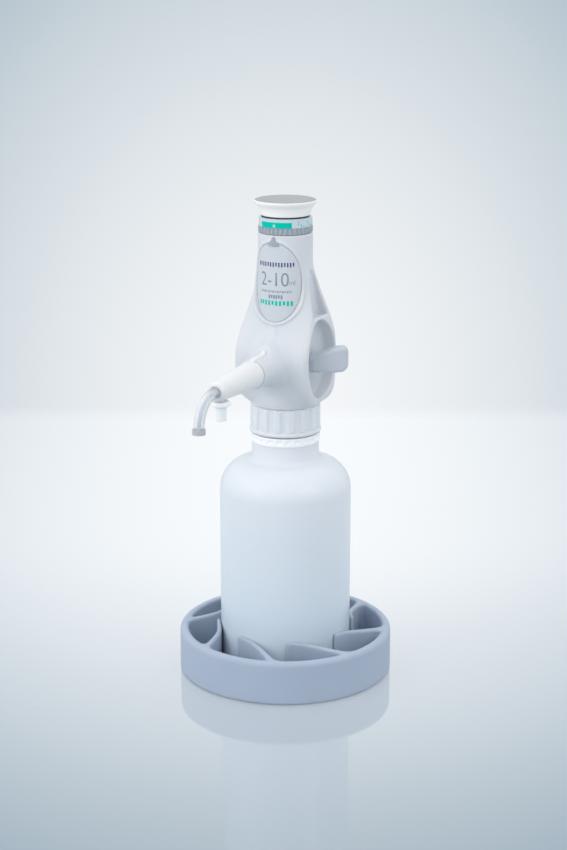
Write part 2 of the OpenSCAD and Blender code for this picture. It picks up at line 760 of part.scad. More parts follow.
module valve_lever() {
  color("#a6b3c2") translate([0, 0, valve_z]) difference() {
    union() {
      translate([lever_near_x, 0, 0]) rotate([0, 90, 0]) cylinder(r = hub_r, h = 8);
      intersection() {
        rotate([90, 0, 0]) translate([0, 0, -lever_half_near - 1])
          linear_extrude(2 * lever_half_near + 2) lever_side();
        translate([0, 0, -lever_low - 1]) linear_extrude(lever_low + lever_high + 2) lever_plan();
      }
    }
    translate([lever_near_x - 1, 0, 0]) rotate([0, 90, 0]) cylinder(r = spindle_r + fit, h = 7.1);
  }
}

module spindle_seal() {
  color("#5b646e") translate([spindle_seal_x, 0, valve_z]) rotate([0, 90, 0]) rotate_extrude()
    translate([spindle_seal_mid, 0]) circle(r = spindle_seal_r, $fn = 32);
}

module grip_ring() {
  color("#aeb6be") translate([0, 0, grip_z]) difference() {
    linear_extrude(grip_h) ribbed(column_r - 0.7, column_r, grip_count, 6);
    translate([0, 0, -1]) cylinder(r = sleeve_r + fit, h = grip_h + 2);
  }
}

module scale_ring() {
  color("#eef2f4") difference() {
    translate([0, 0, scale_z]) cylinder(r = column_r - 0.4, h = scale_h);
    translate([0, 0, scale_z - 1]) cylinder(r = sleeve_r + fit, h = scale_h + 2);
  }
}

module setting_sleeve() {
  color("#c7ccd1") tube(sleeve_r, sleeve_in_r, sleeve_low_z, scale_top_z);
}

module stop_nut() {
  color("#8b959f") tube(nut_r, nut_in_r, nut_z, nut_z + nut_h);
}

module plunger_tube() {
  color("#f1f1ef") tube(plunger_r, plunger_in_r, plunger_low_z, knob_z + 3);
}

module piston_rod() {
  color("#c9ced3") translate([0, 0, piston_z + piston_h]) cylinder(r = rod_r, h = knob_z + 4 - piston_z - piston_h);
}

module piston() {
  color("#f8f4ec") translate([0, 0, piston_z]) {
    cylinder(r1 = piston_r - 1, r2 = piston_r, h = 1.2);
    translate([0, 0, 1.2 - eps]) cylinder(r = piston_r, h = piston_h - 1.2 + eps);
  }
}

module rod_nut() {
  color("#b4bac0") translate([0, 0, piston_z + piston_h]) difference() {
    cylinder(r = rod_nut_r, h = rod_nut_h, $fn = 6);
    translate([0, 0, -1]) cylinder(r = rod_r + fit, h = rod_nut_h + 2);
  }
}

module push_knob() {
  under = knob_h - 3.4;
  color("#f3f1ee") difference() {
    translate([0, 0, knob_z]) rotate_extrude()
      polygon([[0, 0], [knob_low_r, 0], [knob_low_r + 0.5, 0.5], [knob_low_r + 0.9, knob_h * 0.3],
        [knob_low_r + 1.7, knob_h * 0.52], [knob_low_r + 2.9, knob_h * 0.7], [knob_rim_r - 0.4, knob_h - 2.5],
        [knob_rim_r, knob_h - 1.8], [knob_rim_r, knob_h - 1], [knob_rim_r - 0.7, knob_h - 0.3],
        [knob_disc_r + 0.05, knob_h - 0.3], [knob_disc_r + 0.05, knob_h - 1.5], [0, knob_h - 1.5]]);
    // hollow underside, with a ring for the plunger tube and a boss for the rod
    difference() {
      translate([0, 0, knob_z - 1]) cylinder(r = knob_low_r - knob_wall, h = under + 1);
      translate([0, 0, knob_z - 2]) cylinder(r = plunger_r + 0.9, h = under + 4);
    }
    translate([0, 0, knob_z - 1]) difference() {
      cylinder(r = plunger_in_r - 1.2, h = under + 1);
      translate([0, 0, -1]) cylinder(r = rod_r + 2, h = under + 4);
    }
    tube(plunger_r + fit, plunger_in_r - fit, knob_z - 1, knob_z + 3 + fit);
    translate([0, 0, knob_z - 1]) cylinder(r = rod_r + fit, h = 5 + fit);
  }
}

module knob_disc() {
  color("#b9babd") translate([0, 0, knob_z + knob_h - 1.5]) rotate_extrude()
    polygon([[0, 0], [knob_disc_r, 0], [knob_disc_r, 1], [knob_disc_r - 0.4, 1.35],
      [knob_disc_r * 0.6, 1.5], [0, 1.5]]);
}

module buffer_ring() {
  color("#2b3036") tube(knob_low_r - 0.4, plunger_r + 1, buffer_z, knob_z);
}

stand_ring();
bottle();
tamper_ring();
screw_collar();
neck_seal();
housing();
label_plate();
pointer();
valve_block();
cylinder_seal();
measuring_cylinder();
intake_valve_seat();
intake_ball();
intake_tube();
recirculation_tube();
discharge_valve_seat();
discharge_ball();
discharge_tube();
discharge_arm();
arm_latch();
nozzle_tube();
nozzle_collar();
closure_cap();
valve_spindle();
valve_lever();
spindle_seal();
grip_ring();
scale_ring();
setting_sleeve();
stop_nut();
plunger_tube();
piston_rod();
piston();
rod_nut();
push_knob();
knob_disc();
buffer_ring();
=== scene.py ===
from contextlib import contextmanager
from functools import reduce
import json
import math
from math import cos, pi, radians, sin

import bmesh
import bpy
import numpy as np
from numpy import hypot, maximum, minimum
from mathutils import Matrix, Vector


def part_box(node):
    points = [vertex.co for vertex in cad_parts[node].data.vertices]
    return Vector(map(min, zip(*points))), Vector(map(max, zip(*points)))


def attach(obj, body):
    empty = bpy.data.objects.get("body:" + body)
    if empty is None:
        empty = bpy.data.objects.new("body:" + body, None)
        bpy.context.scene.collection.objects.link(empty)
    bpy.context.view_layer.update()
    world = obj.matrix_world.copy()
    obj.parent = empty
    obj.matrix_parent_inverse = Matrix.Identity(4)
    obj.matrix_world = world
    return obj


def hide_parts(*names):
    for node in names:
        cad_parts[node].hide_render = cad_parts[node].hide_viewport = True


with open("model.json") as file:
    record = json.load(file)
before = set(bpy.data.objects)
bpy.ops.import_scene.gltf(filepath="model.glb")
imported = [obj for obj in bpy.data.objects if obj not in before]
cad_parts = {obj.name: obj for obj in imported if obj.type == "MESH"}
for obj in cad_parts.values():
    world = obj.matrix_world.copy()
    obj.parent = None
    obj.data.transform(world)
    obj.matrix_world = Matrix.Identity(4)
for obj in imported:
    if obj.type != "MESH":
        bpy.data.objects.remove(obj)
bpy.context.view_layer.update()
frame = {"nodes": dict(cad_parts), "record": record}
scene = bpy.context.scene

# Lengths below are in millimetres unless a name says otherwise; MM turns them into metres.
MM = 0.001
X, Y, Z = 0, 1, 2


def ends(name, axis):
    """Lowest and highest coordinate of a CAD node along an axis."""
    return [corner[axis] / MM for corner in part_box(name)]


def low(name, axis):
    return ends(name, axis)[0]


def high(name, axis):
    return ends(name, axis)[1]


def middle(name, axis):
    return sum(ends(name, axis)) / 2


def half(name, axis):
    return (high(name, axis) - low(name, axis)) / 2


# Main places, read from the frame
SLOTS = {part["node"]: part["material_slot"] for part in frame["record"]["subparts"]}
JOINTS = {joint["name"]: joint for joint in frame["record"]["behaviour"]["joints"]}
VALVE_Z = JOINTS["lever_turn"]["pos_m"][Z] / MM
HOUSING_LOW = low("housing", Z)
HOUSING_TOP = high("housing", Z)
COLUMN_R = high("grip_ring", X)
STAND_R = high("stand_ring", X)
BOTTLE_R = high("bottle", X)
BOTTLE_TOP = high("bottle", Z)
NECK_STEP = low("tamper_ring", Z)
SCALE_LOW = low("scale_ring", Z)
SCALE_R = high("scale_ring", X)
NOZZLE_Y = middle("nozzle_collar", Y)
NOZZLE_R = half("nozzle_tube", X)
ARM_FAR = low("discharge_arm", Y)
PEG_Y = middle("closure_cap", Y)
PEG_LOW = low("discharge_arm", Z)
LABEL_MID = middle("label_plate", Z)
LABEL_HALF_H = half("label_plate", Z)
LEVER_NEAR, LEVER_END = ends("valve_lever", X)

# The same places as in the CAD source
ARM_NEAR = -54.65
BOSS_FACE = -54.5
LABEL_TURN = radians(60)
LABEL_SEAT_R = COLUMN_R - 0.6
LABEL_R = LABEL_SEAT_R + 1.2


# Node trees
def connect(socket, value):
    """Links another node's output to an input, or sets a plain value."""
    if isinstance(value, bpy.types.NodeSocket):
        socket.id_data.links.new(value, socket)
    else:
        socket.default_value = value


def dial(made, **values):
    """Fills a node's inputs, named with _ for a space, or else its settings."""
    for key, value in values.items():
        socket = made.inputs.get(key.replace("_", " "))
        if socket is None:
            setattr(made, key, value)
        else:
            connect(socket, value)
    return made


def node(tree, kind, **values):
    return dial(tree.nodes.new("ShaderNode" + kind), **values)


def in_order(tree, kind, inputs, **values):
    """A node whose inputs are given by their order, since their names repeat."""
    made = node(tree, kind, **values)
    for socket, value in zip(made.inputs, inputs):
        connect(socket, value)
    return made


def maths(tree, operation, *inputs, kind="Math"):
    return in_order(tree, kind, inputs, operation=operation).outputs["Value"]


def mixed(tree, factor, first, second):
    """One shader, or another as the factor reaches 1."""
    return in_order(tree, "MixShader", (factor, first, second)).outputs[0]


def tinted(tree, factor, near, far):
    """A colour between two tones."""
    mix = node(tree, "Mix", data_type="RGBA")
    factor_in, near_in, far_in = 0, 6, 7
    connect(mix.inputs[factor_in], factor)
    connect(mix.inputs[near_in], near)
    connect(mix.inputs[far_in], far)
    return mix.outputs[2]


def ranged(tree, value, span, result=(0.0, 1.0), kind="LINEAR"):
    """Maps a value from one span to another."""
    made = node(tree, "MapRange", interpolation_type=kind, Value=value, From_Min=span[0],
                From_Max=span[1], To_Min=result[0], To_Max=result[1])
    return made.outputs["Result"]


def noise(tree, vector, scale, detail, roughness=0.5):
    made = node(tree, "TexNoise", Vector=vector, Scale=scale, Detail=detail, Roughness=roughness)
    return made.outputs["Fac"]


def stretched(tree, vector, *scale):
    return node(tree, "Mapping", Vector=vector, Scale=scale).outputs["Vector"]


def embossed(tree, height, strength, distance):
    made = node(tree, "Bump", Height=height, Strength=strength, Distance=distance)
    return made.outputs["Normal"]


# Materials, kept by name in M
M = {}
WHOLE = (0.0, 1.0)


def tone(screen, share=1.0):
    """Colour values from 0 to 255, as seen on screen, as linear light times a share."""
    light = []
    for v in screen:
        v = v / 255
        v = v / 12.92 if v <= 0.04045 else ((v + 0.055) / 1.055) ** 2.4
        light.append(min(1.0, v * share))
    return (*light, 1.0)


def new_material(name):
    """Makes a material, and returns its tree, its shader and the object's coordinates."""
    M[name] = bpy.data.materials.new(name)
    M[name].use_nodes = True
    tree = M[name].node_tree
    where = node(tree, "TexCoord").outputs["Object"]
    return tree, tree.nodes["Principled BSDF"], where


def plastic(name, colour, roughness, mottle=0.04, grain=0.00002, grain_scale=2600.0,
            specular=0.45, coat=0.0, subsurface=0.0, metallic=0.0):
    """Moulded plastic: slight tone drift, fine spark grain, faint handling marks in the gloss."""
    tree, shader, where = new_material(name)
    drift = noise(tree, where, 38.0, 4.0, 0.55)
    rub = noise(tree, stretched(tree, where, 1.0, 1.0, 0.16), 160.0, 3.0)
    fine = noise(tree, where, grain_scale, 2.0)
    dial(shader, Specular_IOR_Level=specular, Coat_Weight=coat, Metallic=metallic,
         Subsurface_Weight=subsurface, Subsurface_Scale=0.004,
         Base_Color=tinted(tree, drift, tone(colour, 1 - mottle), tone(colour, 1 + mottle)),
         Roughness=ranged(tree, rub, WHOLE, (roughness - 0.05, roughness + 0.06)),
         Normal=embossed(tree, fine, 0.5, grain))


def frosted(name, top, bottom, low_z, high_z):
    """Milky blow-moulded plastic whose tone deepens towards the bench."""
    tree, shader, where = new_material(name)
    height = node(tree, "SeparateXYZ", Vector=where).outputs["Z"]
    ramp = ranged(tree, height, (low_z * MM, high_z * MM))
    cloud = noise(tree, where, 22.0, 5.0)
    wobble = maths(tree, "MULTIPLY_ADD", cloud, 0.12, ramp)
    dial(shader, IOR=1.5, Coat_Weight=0.5, Coat_Roughness=0.2,
         Subsurface_Weight=0.08, Subsurface_Scale=0.002,
         Base_Color=tinted(tree, wobble, tone(bottom), tone(top)),
         Roughness=ranged(tree, cloud, WHOLE, (0.36, 0.5)),
         Normal=embossed(tree, noise(tree, where, 900.0, 3.0), 0.35, 0.00004))


def clear(name, colour, roughness, transmission, ior):
    """Clear tubing or glass with faint drawing lines."""
    tree, shader, where = new_material(name)
    lines = noise(tree, stretched(tree, where, 1.0, 0.08, 0.08), 700.0, 2.0)
    dial(shader, Transmission_Weight=transmission, IOR=ior,
         Base_Color=tinted(tree, lines, tone(colour, 0.96), tone(colour)),
         Roughness=ranged(tree, lines, WHOLE, (roughness * 0.6, roughness * 1.6)))


plastic("stand_soft", (170, 183, 201), 0.62, grain=0.00005,
        grain_scale=1500.0, specular=0.3, subsurface=0.3)
frosted("bottle_plastic", (226, 230, 236), (207, 221, 233), 25, 165)
plastic("white_plastic", (212, 216, 221), 0.4, mottle=0.02, subsurface=0.2)
plastic("arm_plastic", (228, 229, 231), 0.32, mottle=0.02, subsurface=0.12)
plastic("collar_plastic", (225, 229, 234), 0.38, mottle=0.02, subsurface=0.12)
plastic("ring_white", (250, 251, 253), 0.35, mottle=0.012, subsurface=0.1)
plastic("grey_plastic", (160, 168, 178), 0.4, mottle=0.035)
plastic("lever_grey", (190, 197, 206), 0.42, mottle=0.03)
plastic("grip_grey", (166, 174, 184), 0.42)
plastic("scale_band", (200, 214, 220), 0.16, mottle=0.015, coat=0.5, specular=0.55)
plastic("label_face", (204, 209, 215), 0.25, mottle=0.015, coat=0.3)
plastic("knob_white", (248, 246, 243), 0.34, mottle=0.015, subsurface=0.08)
plastic("knob_grey", (166, 166, 168), 0.5, mottle=0.03, grain=0.00003)
# This near-black also colours the ring under the knob, set where the knob leaves a dark shadow gap
# above the scale: a painted shadow.
plastic("dark_rubber", (52, 56, 62), 0.6, mottle=0.08)
plastic("seal_grey", (96, 104, 112), 0.6, mottle=0.06)
clear("clear_tube", (252, 252, 253), 0.14, 0.6, 1.1)
# The cap's plastic: the arm's white made lighter so that the cap, hanging in the arm's shadow,
# still looks bright, which is painted light; its subsurface gives it real translucence.
plastic("cap_plastic_painted_light", (248, 250, 251), 0.3, mottle=0.015, subsurface=0.3)
plastic("collar_dark", (186, 186, 192), 0.4)
plastic("fluoro_white", (236, 236, 232), 0.35, mottle=0.02, subsurface=0.2)
plastic("ceramic", (245, 240, 230), 0.14, mottle=0.01, specular=0.6)
clear("glass", (232, 242, 244), 0.02, 0.92, 1.47)
plastic("steel", (184, 188, 192), 0.28, mottle=0.05, grain=0.00001, grain_scale=900.0,
        metallic=1.0)
plastic("print_teal", (0, 192, 172), 0.6, mottle=0.03, specular=0.05)
plastic("print_grey", (128, 144, 158), 0.35)
plastic("print_navy", (62, 74, 128), 0.35)
plastic("print_white", (244, 246, 247), 0.35, mottle=0.01)
# The bluish tone of the nozzle's bore stands for the liquid line seen in the bore: partly the
# liquid, partly a refracted highlight painted as colour.
plastic("bore_liquid_and_painted_highlight", (120, 176, 236), 0.3, mottle=0.05)

for name, slot in SLOTS.items():
    data = frame["nodes"][name].data
    data.materials.clear()
    data.materials.append(M[slot])


# Mesh pieces
@contextmanager
def edited(mesh):
    """The mesh opened for editing, and written back afterwards."""
    bm = bmesh.new()
    bm.from_mesh(mesh)
    yield bm
    bm.to_mesh(mesh)
    bm.free()


def turn_outward(bm):
    bmesh.ops.recalc_face_normals(bm, faces=bm.faces)


def weld(mesh):
    """Joins the points that meet on the axis, and turns every face outward."""
    with edited(mesh) as bm:
        bmesh.ops.remove_doubles(bm, verts=bm.verts, dist=1e-6)
        turn_outward(bm)


def sharpen(mesh, degrees):
    """Edges steeper than this angle stay crisp, the rest shade smoothly."""
    limit = radians(degrees)
    with edited(mesh) as bm:
        for edge in bm.edges:
            if edge.calc_face_angle(0) > limit:
                edge.smooth = False


def add_object(name, data):
    made = bpy.data.objects.new(name, data)
    scene.collection.objects.link(made)
    return made


def mesh_piece(name, points, faces, body, slot, replaced=(), material=None, crisp=0):
    """A smooth mesh piece, with points in millimetres, that rides on a body.

    Its material is its slot's unless another is named. With crisp, it is welded, and its edges
    over that many degrees stay crisp.
    """
    mesh = bpy.data.meshes.new(name)
    points = np.asarray(points, dtype=np.float32) * MM
    mesh.from_pydata(points.tolist(), [], [[int(i) for i in f] for f in faces])
    mesh.validate()
    mesh.polygons.foreach_set("use_smooth", [True] * len(mesh.polygons))
    obj = add_object(name, mesh)
    mesh.materials.append(M[material or slot])
    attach(obj, body)
    if replaced:
        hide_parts(*replaced)
    if crisp:
        weld(mesh)
        sharpen(mesh, crisp)
    return obj


# Shapes made from a distance field, below zero inside. The last value given to smin and smax is
# the blend's width. Where a side slopes, a factor just under 1 turns its gap into a distance.
def smin(a, b, k):
    h = maximum(k - abs(a - b), 0.0) / k
    return minimum(a, b) - h * h * k * 0.25


def smax(a, b, k):
    return -smin(-a, -b, k)


def profile(pairs, at):
    """Straight lines through (place, value) pairs."""
    return np.interp(at, *zip(*pairs))


CORNERS = [(i, j, k) for i in (0, 1) for j in (0, 1) for k in (0, 1)]
EDGES = [(a, b) for a in range(8) for b in range(a + 1, 8)
         if sum(abs(CORNERS[a][n] - CORNERS[b][n]) for n in range(3)) == 1]
SETTLE_ROUNDS = 3
SETTLE_PROBE = 0.02
SETTLE_REACH = 0.4      # largest move per grid step


def field_surface(field, lowest, highest, step):
    """Vertices and quads of the surface where the field is zero, one vertex per grid cell."""
    axes = [np.arange(lowest[n] - 2 * step, highest[n] + 2.5 * step, step) for n in range(3)]
    value = field(*np.meshgrid(*axes, indexing="ij"))
    size = value.shape
    cut = [tuple(slice(c[n], size[n] - 1 + c[n]) for n in range(3)) for c in CORNERS]
    inside = sum((value[c] < 0).astype(np.int8) for c in cut)
    cells = np.argwhere((inside > 0) & (inside < 8))
    number = np.full([s - 1 for s in size], -1, dtype=np.int64)
    number[tuple(cells.T)] = np.arange(len(cells))
    corner = np.stack([value[tuple((cells + np.array(c)).T)] for c in CORNERS])
    place = np.zeros((len(cells), 3))
    hits = np.zeros(len(cells))
    for a, b in EDGES:
        crosses = (corner[a] < 0) != (corner[b] < 0)
        t = np.where(crosses, corner[a] / np.where(crosses, corner[a] - corner[b], 1.0), 0.0)
        start, end = np.array(CORNERS[a], float), np.array(CORNERS[b], float)
        place += np.where(crosses[:, None], start + t[:, None] * (end - start), 0.0)
        hits += crosses
    origin = np.array([axis[0] for axis in axes])
    points = (cells + place / hits[:, None]) * step + origin
    quads = []
    unit = np.eye(3, dtype=int)
    for n in range(3):
        u, v = (n + 1) % 3, (n + 2) % 3
        here = [slice(1, s - 1) for s in size]
        there = list(here)
        here[n] = slice(0, size[n] - 1)
        there[n] = slice(1, size[n])
        first, second = value[tuple(here)] < 0, value[tuple(there)] < 0
        for sign, found in ((1, first & ~second), (-1, ~first & second)):
            at = np.argwhere(found) + 1 - unit[n]
            around = [number[tuple((at - back_u * unit[u] - back_v * unit[v]).T)]
                      for back_u, back_v in ((1, 1), (0, 1), (0, 0), (1, 0))]
            quads.append(np.stack(around[::sign], axis=1))
    return settle(field, points, step), np.concatenate(quads)


def settle(field, points, step):
    """Moves points onto the surface along the field's slope."""
    for _ in range(SETTLE_ROUNDS):
        here = field(*points.T)
        slope = np.zeros_like(points)
        for n in range(3):
            ahead = points.copy()
            ahead[:, n] += SETTLE_PROBE
            slope[:, n] = (field(*ahead.T) - here) / SETTLE_PROBE
        size = maximum((slope ** 2).sum(axis=1), 0.2)
        move = -(here / size)[:, None] * slope
        reach = np.linalg.norm(move, axis=1)
        move *= minimum(1.0, SETTLE_REACH * step / maximum(reach, 1e-9))[:, None]
        points = points + move
    return points


def field_piece(name, field, replaced, body, slot, fine, material=None, span=None):
    """The surface of a field in its CAD node's box, or in a given span, in grid steps of the fine
    size.
    """
    lowest, highest = span or [[v / MM for v in corner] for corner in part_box(replaced)]
    points, quads = field_surface(field, lowest, highest, fine)
    mesh_piece(name, points, quads, body, slot, [replaced], material)


# Shapes made by turning an outline round an axis, or by sweeping a circle along a route
ROUND_STEPS = 5
ROUND_SHARE = 0.49      # the most of an edge that one corner takes


def rounded(path):
    """Outline points (x, z, radius) with each corner rounded by its radius."""
    out = []
    for i, (x, z, r) in enumerate(path):
        here = np.array([x, z], float)
        if r <= 0:
            out.append(here)
            continue
        before = np.array(path[i - 1][:2], float) - here
        after = np.array(path[(i + 1) % len(path)][:2], float) - here
        la, lb = np.linalg.norm(before), np.linalg.norm(after)
        before, after = before / la, after / lb
        turn = math.acos(max(-1.0, min(1.0, float(before @ after)))) / 2
        straight = turn >= 1.56
        reach = 0.0 if straight else min(r / math.tan(turn), ROUND_SHARE * la, ROUND_SHARE * lb)
        a, b = here + before * reach, here + after * reach
        for k in range(ROUND_STEPS + 1):
            t = k / ROUND_STEPS
            out.append((1 - t) ** 2 * a + 2 * t * (1 - t) * here + t * t * b)
    return out


def circle(count):
    return np.arange(count) * 2 * pi / count


def loop(count):
    """Each number with its follower, the last with the first."""
    return [(i, (i + 1) % count) for i in range(count)]


def turned(outline, count, swell=0.0):
    """Points and quads of a closed outline (radius, z) turned round the Z axis.

    swell adds to the radius, for each angle and outline point.
    """
    outline = np.asarray(outline)
    angle = circle(count)[:, None]
    n = len(outline)
    radius = np.broadcast_to(outline[:, 0] + swell, (count, n))
    height = np.broadcast_to(outline[:, 1], (count, n))
    points = np.stack([radius * np.cos(angle), radius * np.sin(angle), height], axis=2)
    faces = [(i * n + k, j * n + k, j * n + m, i * n + m)
             for i, j in loop(count) for k, m in loop(n)]
    return points.reshape(-1, 3), faces


def turned_piece(name, path, body, slot, replaced, count=144, material=None, shift=0.0):
    """A turned piece from an outline with rounded corners, its axis shifted along Y."""
    points, faces = turned(rounded(path), count)
    mesh_piece(name, points + (0, shift, 0), faces, body, slot, replaced, material, 40)


def rib_wave(angle, ribs, flat, soft):
    """A wave from 0 to 1 with flat-topped ribs."""
    edge = abs(np.mod(angle * ribs / (2 * pi), 1.0) - 0.5) * 2
    t = np.clip((flat + soft - edge) / (2 * soft), 0, 1)
    return t * t * (3 - 2 * t)


def ribbed_piece(name, path, body, slot, replaced, ribs, per_rib, flat, soft, depth, crisp):
    """A turned piece with ribs; the fourth value of an outline point is the ribs' share there."""
    outline = rounded([point[:3] for point in path])
    weight = []
    for _, _, r, share in path:
        weight += [share * depth] * (1 if r <= 0 else ROUND_STEPS + 1)
    count = ribs * per_rib
    swell = rib_wave(circle(count), ribs, flat, soft)[:, None] * np.array(weight)
    points, faces = turned(outline, count, swell)
    mesh_piece(name, points, faces, body, slot, [replaced], crisp=crisp)


def tube_faces(rows, sides):
    """Quads between rows of points, each row closed into a ring."""
    return [(i * sides + k, i * sides + m, (i + 1) * sides + m, (i + 1) * sides + k)
            for i in range(rows - 1) for k, m in loop(sides)]


def last_ring(rows, sides):
    return tuple((rows - 1) * sides + k for k in range(sides))


def swept(route, radius, inner, sides):
    """A tube with a bore along a route in the plane of Y and Z."""
    route = np.asarray(route, float)
    ahead = np.gradient(route, axis=0)
    ahead /= np.linalg.norm(ahead, axis=1)[:, None]
    across = np.array([1.0, 0.0, 0.0])
    up = np.cross(ahead, across)[:, None, :]
    angle = circle(sides)[None, :, None]
    ring = np.cos(angle) * across + np.sin(angle) * up
    outer = (route[:, None, :] + radius * ring).reshape(-1, 3)
    bore = (route[:, None, :] + inner * ring).reshape(-1, 3)
    shift = len(outer)
    faces = tube_faces(len(route), sides)
    faces += [tuple(shift + i for i in f[::-1]) for f in faces]
    end = shift - sides
    for k, m in loop(sides):
        faces.append((k, shift + k, shift + m, m))
        faces.append((end + m, shift + end + m, shift + end + k, end + k))
    return np.concatenate([outer, bore]), faces


def wrap(turn, radius, z):
    """Points round the column, at an angle from its front."""
    return np.stack([radius * np.sin(turn), -radius * np.cos(turn), z], axis=-1)


# Housing: the same eased outlines as the CAD, with heights above the valve axis
def less(size, pairs):
    """What is left of a size at each height."""
    return [(height, size - cut) for height, cut in pairs]


LOBE_W = 27.9
LOBE_D = 26.6
SKIRT_R = 24.8
SKIRT_TOP = -24.0
BODY_LOW = -31.5
LOBE_X = less(LOBE_W, [(-32, 7), (-29, 2.8), (-24, 0.7), (-16, 0.1), (0, 0), (14, 0), (22, 0.6),
                       (34, 2.6), (50, 6.4), (62, 9.2), (72, 14)])
LOBE_FRONT = less(LOBE_D, [(-32, 20.6), (-29, 13.6), (-24, 6.6), (-16, 1.6), (0, 0), (10, 1.8),
                           (21, 7.2), (34, 14), (50, 19.6), (62, 21.6), (72, 23)])
LOBE_REAR = less(LOBE_D, [(-32, 8.6), (-29, 3.6), (-24, 0.8), (-16, -0.6), (0, -1.4), (10, -1.2),
                          (21, 1), (34, 5.8), (50, 12), (62, 17.6), (72, 23)])
CORE = [(-32, SKIRT_R - 0.2), (-16, SKIRT_R - 1.4), (6, COLUMN_R + 2.4), (30, COLUMN_R),
        (72, COLUMN_R)]
BLEND = 9.0
EDGE_R = 3.5
DISH_FLOOR = 18.2
DISH_BACK = 1.4
DISH_UP = 1.4
DISH_W = LOBE_D - 3.8
DISH_H = DISH_W + 5.2
CHANNEL_FRONT = [(31, 8.6), (37, 7.6), (49, 5.2), (57, 3.9), (64.5, 1.5)]
CHANNEL_REAR = [(31, 16), (37, 13.6), (49, 9), (57, 6), (64.5, 2.2)]
CHANNEL_LOW = 31.4
CHANNEL_TOP = 64.5
CHANNEL_FLOOR = COLUMN_R - 0.4
BOSS = [(13, 28), (19.5, 24), (22.5, 20), (25.5, 17), (28.5, 14.8), (31.5, 13.2), (35, 12.1),
        (40, 11.1), (53.5, 10.5), (55, 10.45)]
BOSS_REAR = -13.0
RIDGE = [((0, -16.1, LABEL_MID - LABEL_HALF_H - VALVE_Z), 2.4), ((0, -20.6, 14.2), 5.4),
         ((0, -27.4, 8.6), 8.8)]
BORDER_MID = 0.9
BORDER_HALF_W = 0.35
BORDER_SOFT = 0.5
BORDER_RISE = 0.8
LATCH_HALF_W = 2.6
LATCH_FLOOR = 8.4


def eased(pairs, z):
    """A smooth curve through (height, value) pairs."""
    zs, vs = np.array(pairs, float).T
    slope = np.gradient(vs, zs)
    slope[1:-1] = (vs[2:] - vs[:-2]) / (zs[2:] - zs[:-2])
    z = np.clip(z, zs[0], zs[-1])
    i = np.clip(np.searchsorted(zs, z, side="right") - 1, 0, len(zs) - 2)
    d = zs[i + 1] - zs[i]
    t = (z - zs[i]) / d
    return ((1 + 2 * t) * (1 - t) ** 2 * vs[i] + t * (1 - t) ** 2 * d * slope[i]
            + t * t * (3 - 2 * t) * vs[i + 1] + t * t * (t - 1) * d * slope[i + 1])


def section_table(sections=300, bearings=361):
    """Radius of the lofted body by height above the valve axis and angle from rear to front."""
    heights = np.linspace(-32, HOUSING_TOP - VALVE_Z + 1, sections)
    turn = np.radians(np.linspace(-102, 102, 1601))
    across, ahead = np.cos(turn), np.sin(turn)
    sx, sy = np.sign(across), np.sign(ahead)
    target = np.linspace(-pi / 2, pi / 2, bearings)
    rows = []
    for z in heights:
        ax, front, rear = (max(eased(pairs, z) - EDGE_R, least) for pairs, least in
                           ((LOBE_X, 1.0), (LOBE_FRONT, 0.3), (LOBE_REAR, 0.3)))
        core = eased(CORE, z)
        ay = np.where(sy > 0, rear, front)
        lobe = abs(across) * ax + abs(ahead) * ay + EDGE_R
        swing = -ahead * sx * ax + across * sy * ay
        both = (lobe ** BLEND + core ** BLEND) ** (1 / BLEND)
        slope = (lobe / both) ** (BLEND - 1) * swing
        x = both * across - slope * ahead
        y = both * ahead + slope * across
        run = np.concatenate([[0], np.cumsum(hypot(np.diff(x), np.diff(y)))])
        even = np.linspace(0, run[-1], 2400)
        x, y = np.interp(even, run, x), np.interp(even, run, y)
        bearing = np.arctan2(y, x)
        order = np.argsort(bearing)
        rows.append(np.interp(target, bearing[order], hypot(x, y)[order]))
    return heights, np.array(rows)


HEIGHTS, RADII = section_table()


def loft_radius(x, y, z):
    angle = (np.arctan2(y, abs(x)) / pi + 0.5) * (RADII.shape[1] - 1)
    row = (z - HEIGHTS[0]) / (HEIGHTS[1] - HEIGHTS[0])
    angle = np.clip(angle, 0, RADII.shape[1] - 1.001)
    row = np.clip(row, 0, RADII.shape[0] - 1.001)
    a, r = angle.astype(int), row.astype(int)
    fa, fr = angle - a, row - r
    lower, upper = (RADII[i, a] * (1 - fa) + RADII[i, a + 1] * fa for i in (r, r + 1))
    return lower * (1 - fr) + upper * fr


def capsule(x, y, z, a, ra, b, rb):
    """Distance to a rod between two points with a radius at each end."""
    x, y, z = x - a[0], y - a[1], z - a[2]
    u, v, w = rod = np.array(b, float) - np.array(a, float)
    t = np.clip((x * u + y * v + z * w) / (rod @ rod), 0, 1)
    gap = np.sqrt((x - t * u) ** 2 + (y - t * v) ** 2 + (z - t * w) ** 2)
    return gap - (ra + (rb - ra) * t)


def label_distance(x, y, z):
    """Rough distance outside the label's oval, along the column's surface."""
    across = np.arctan2(x, -y) / LABEL_TURN
    up = (z - LABEL_MID) / LABEL_HALF_H
    return (np.sqrt(across ** 2 + up ** 2) - 1) * COLUMN_R * LABEL_TURN


def with_boss(body, x, y, up):
    """Adds the trumpet-shaped boss and the ridge that sweeps up from it to the label."""
    boss = hypot(x, up) - profile(BOSS, -y)
    boss = smax(smax(boss, BOSS_FACE - y, 1.0), y - BOSS_REAR, 1.0)
    body = smin(body, boss, 3.0)
    body = smin(body, capsule(x, y, up, *RIDGE[0], *RIDGE[1]), 2.0)
    return smin(body, capsule(x, y, up, *RIDGE[1], *RIDGE[2]), 3.2)


def with_label_seat(body, x, y, z):
    """Raises the border round the label, and sinks the label's seat."""
    oval = label_distance(x, y, z)
    beside = maximum(abs(oval - BORDER_MID) - BORDER_HALF_W, 0)
    body = body - BORDER_RISE * np.exp(-(beside / BORDER_SOFT) ** 2) * (y < 0)
    seat = maximum(LABEL_SEAT_R - hypot(x, y), maximum(oval - 0.08, y))
    return smax(body, -seat, 0.35)


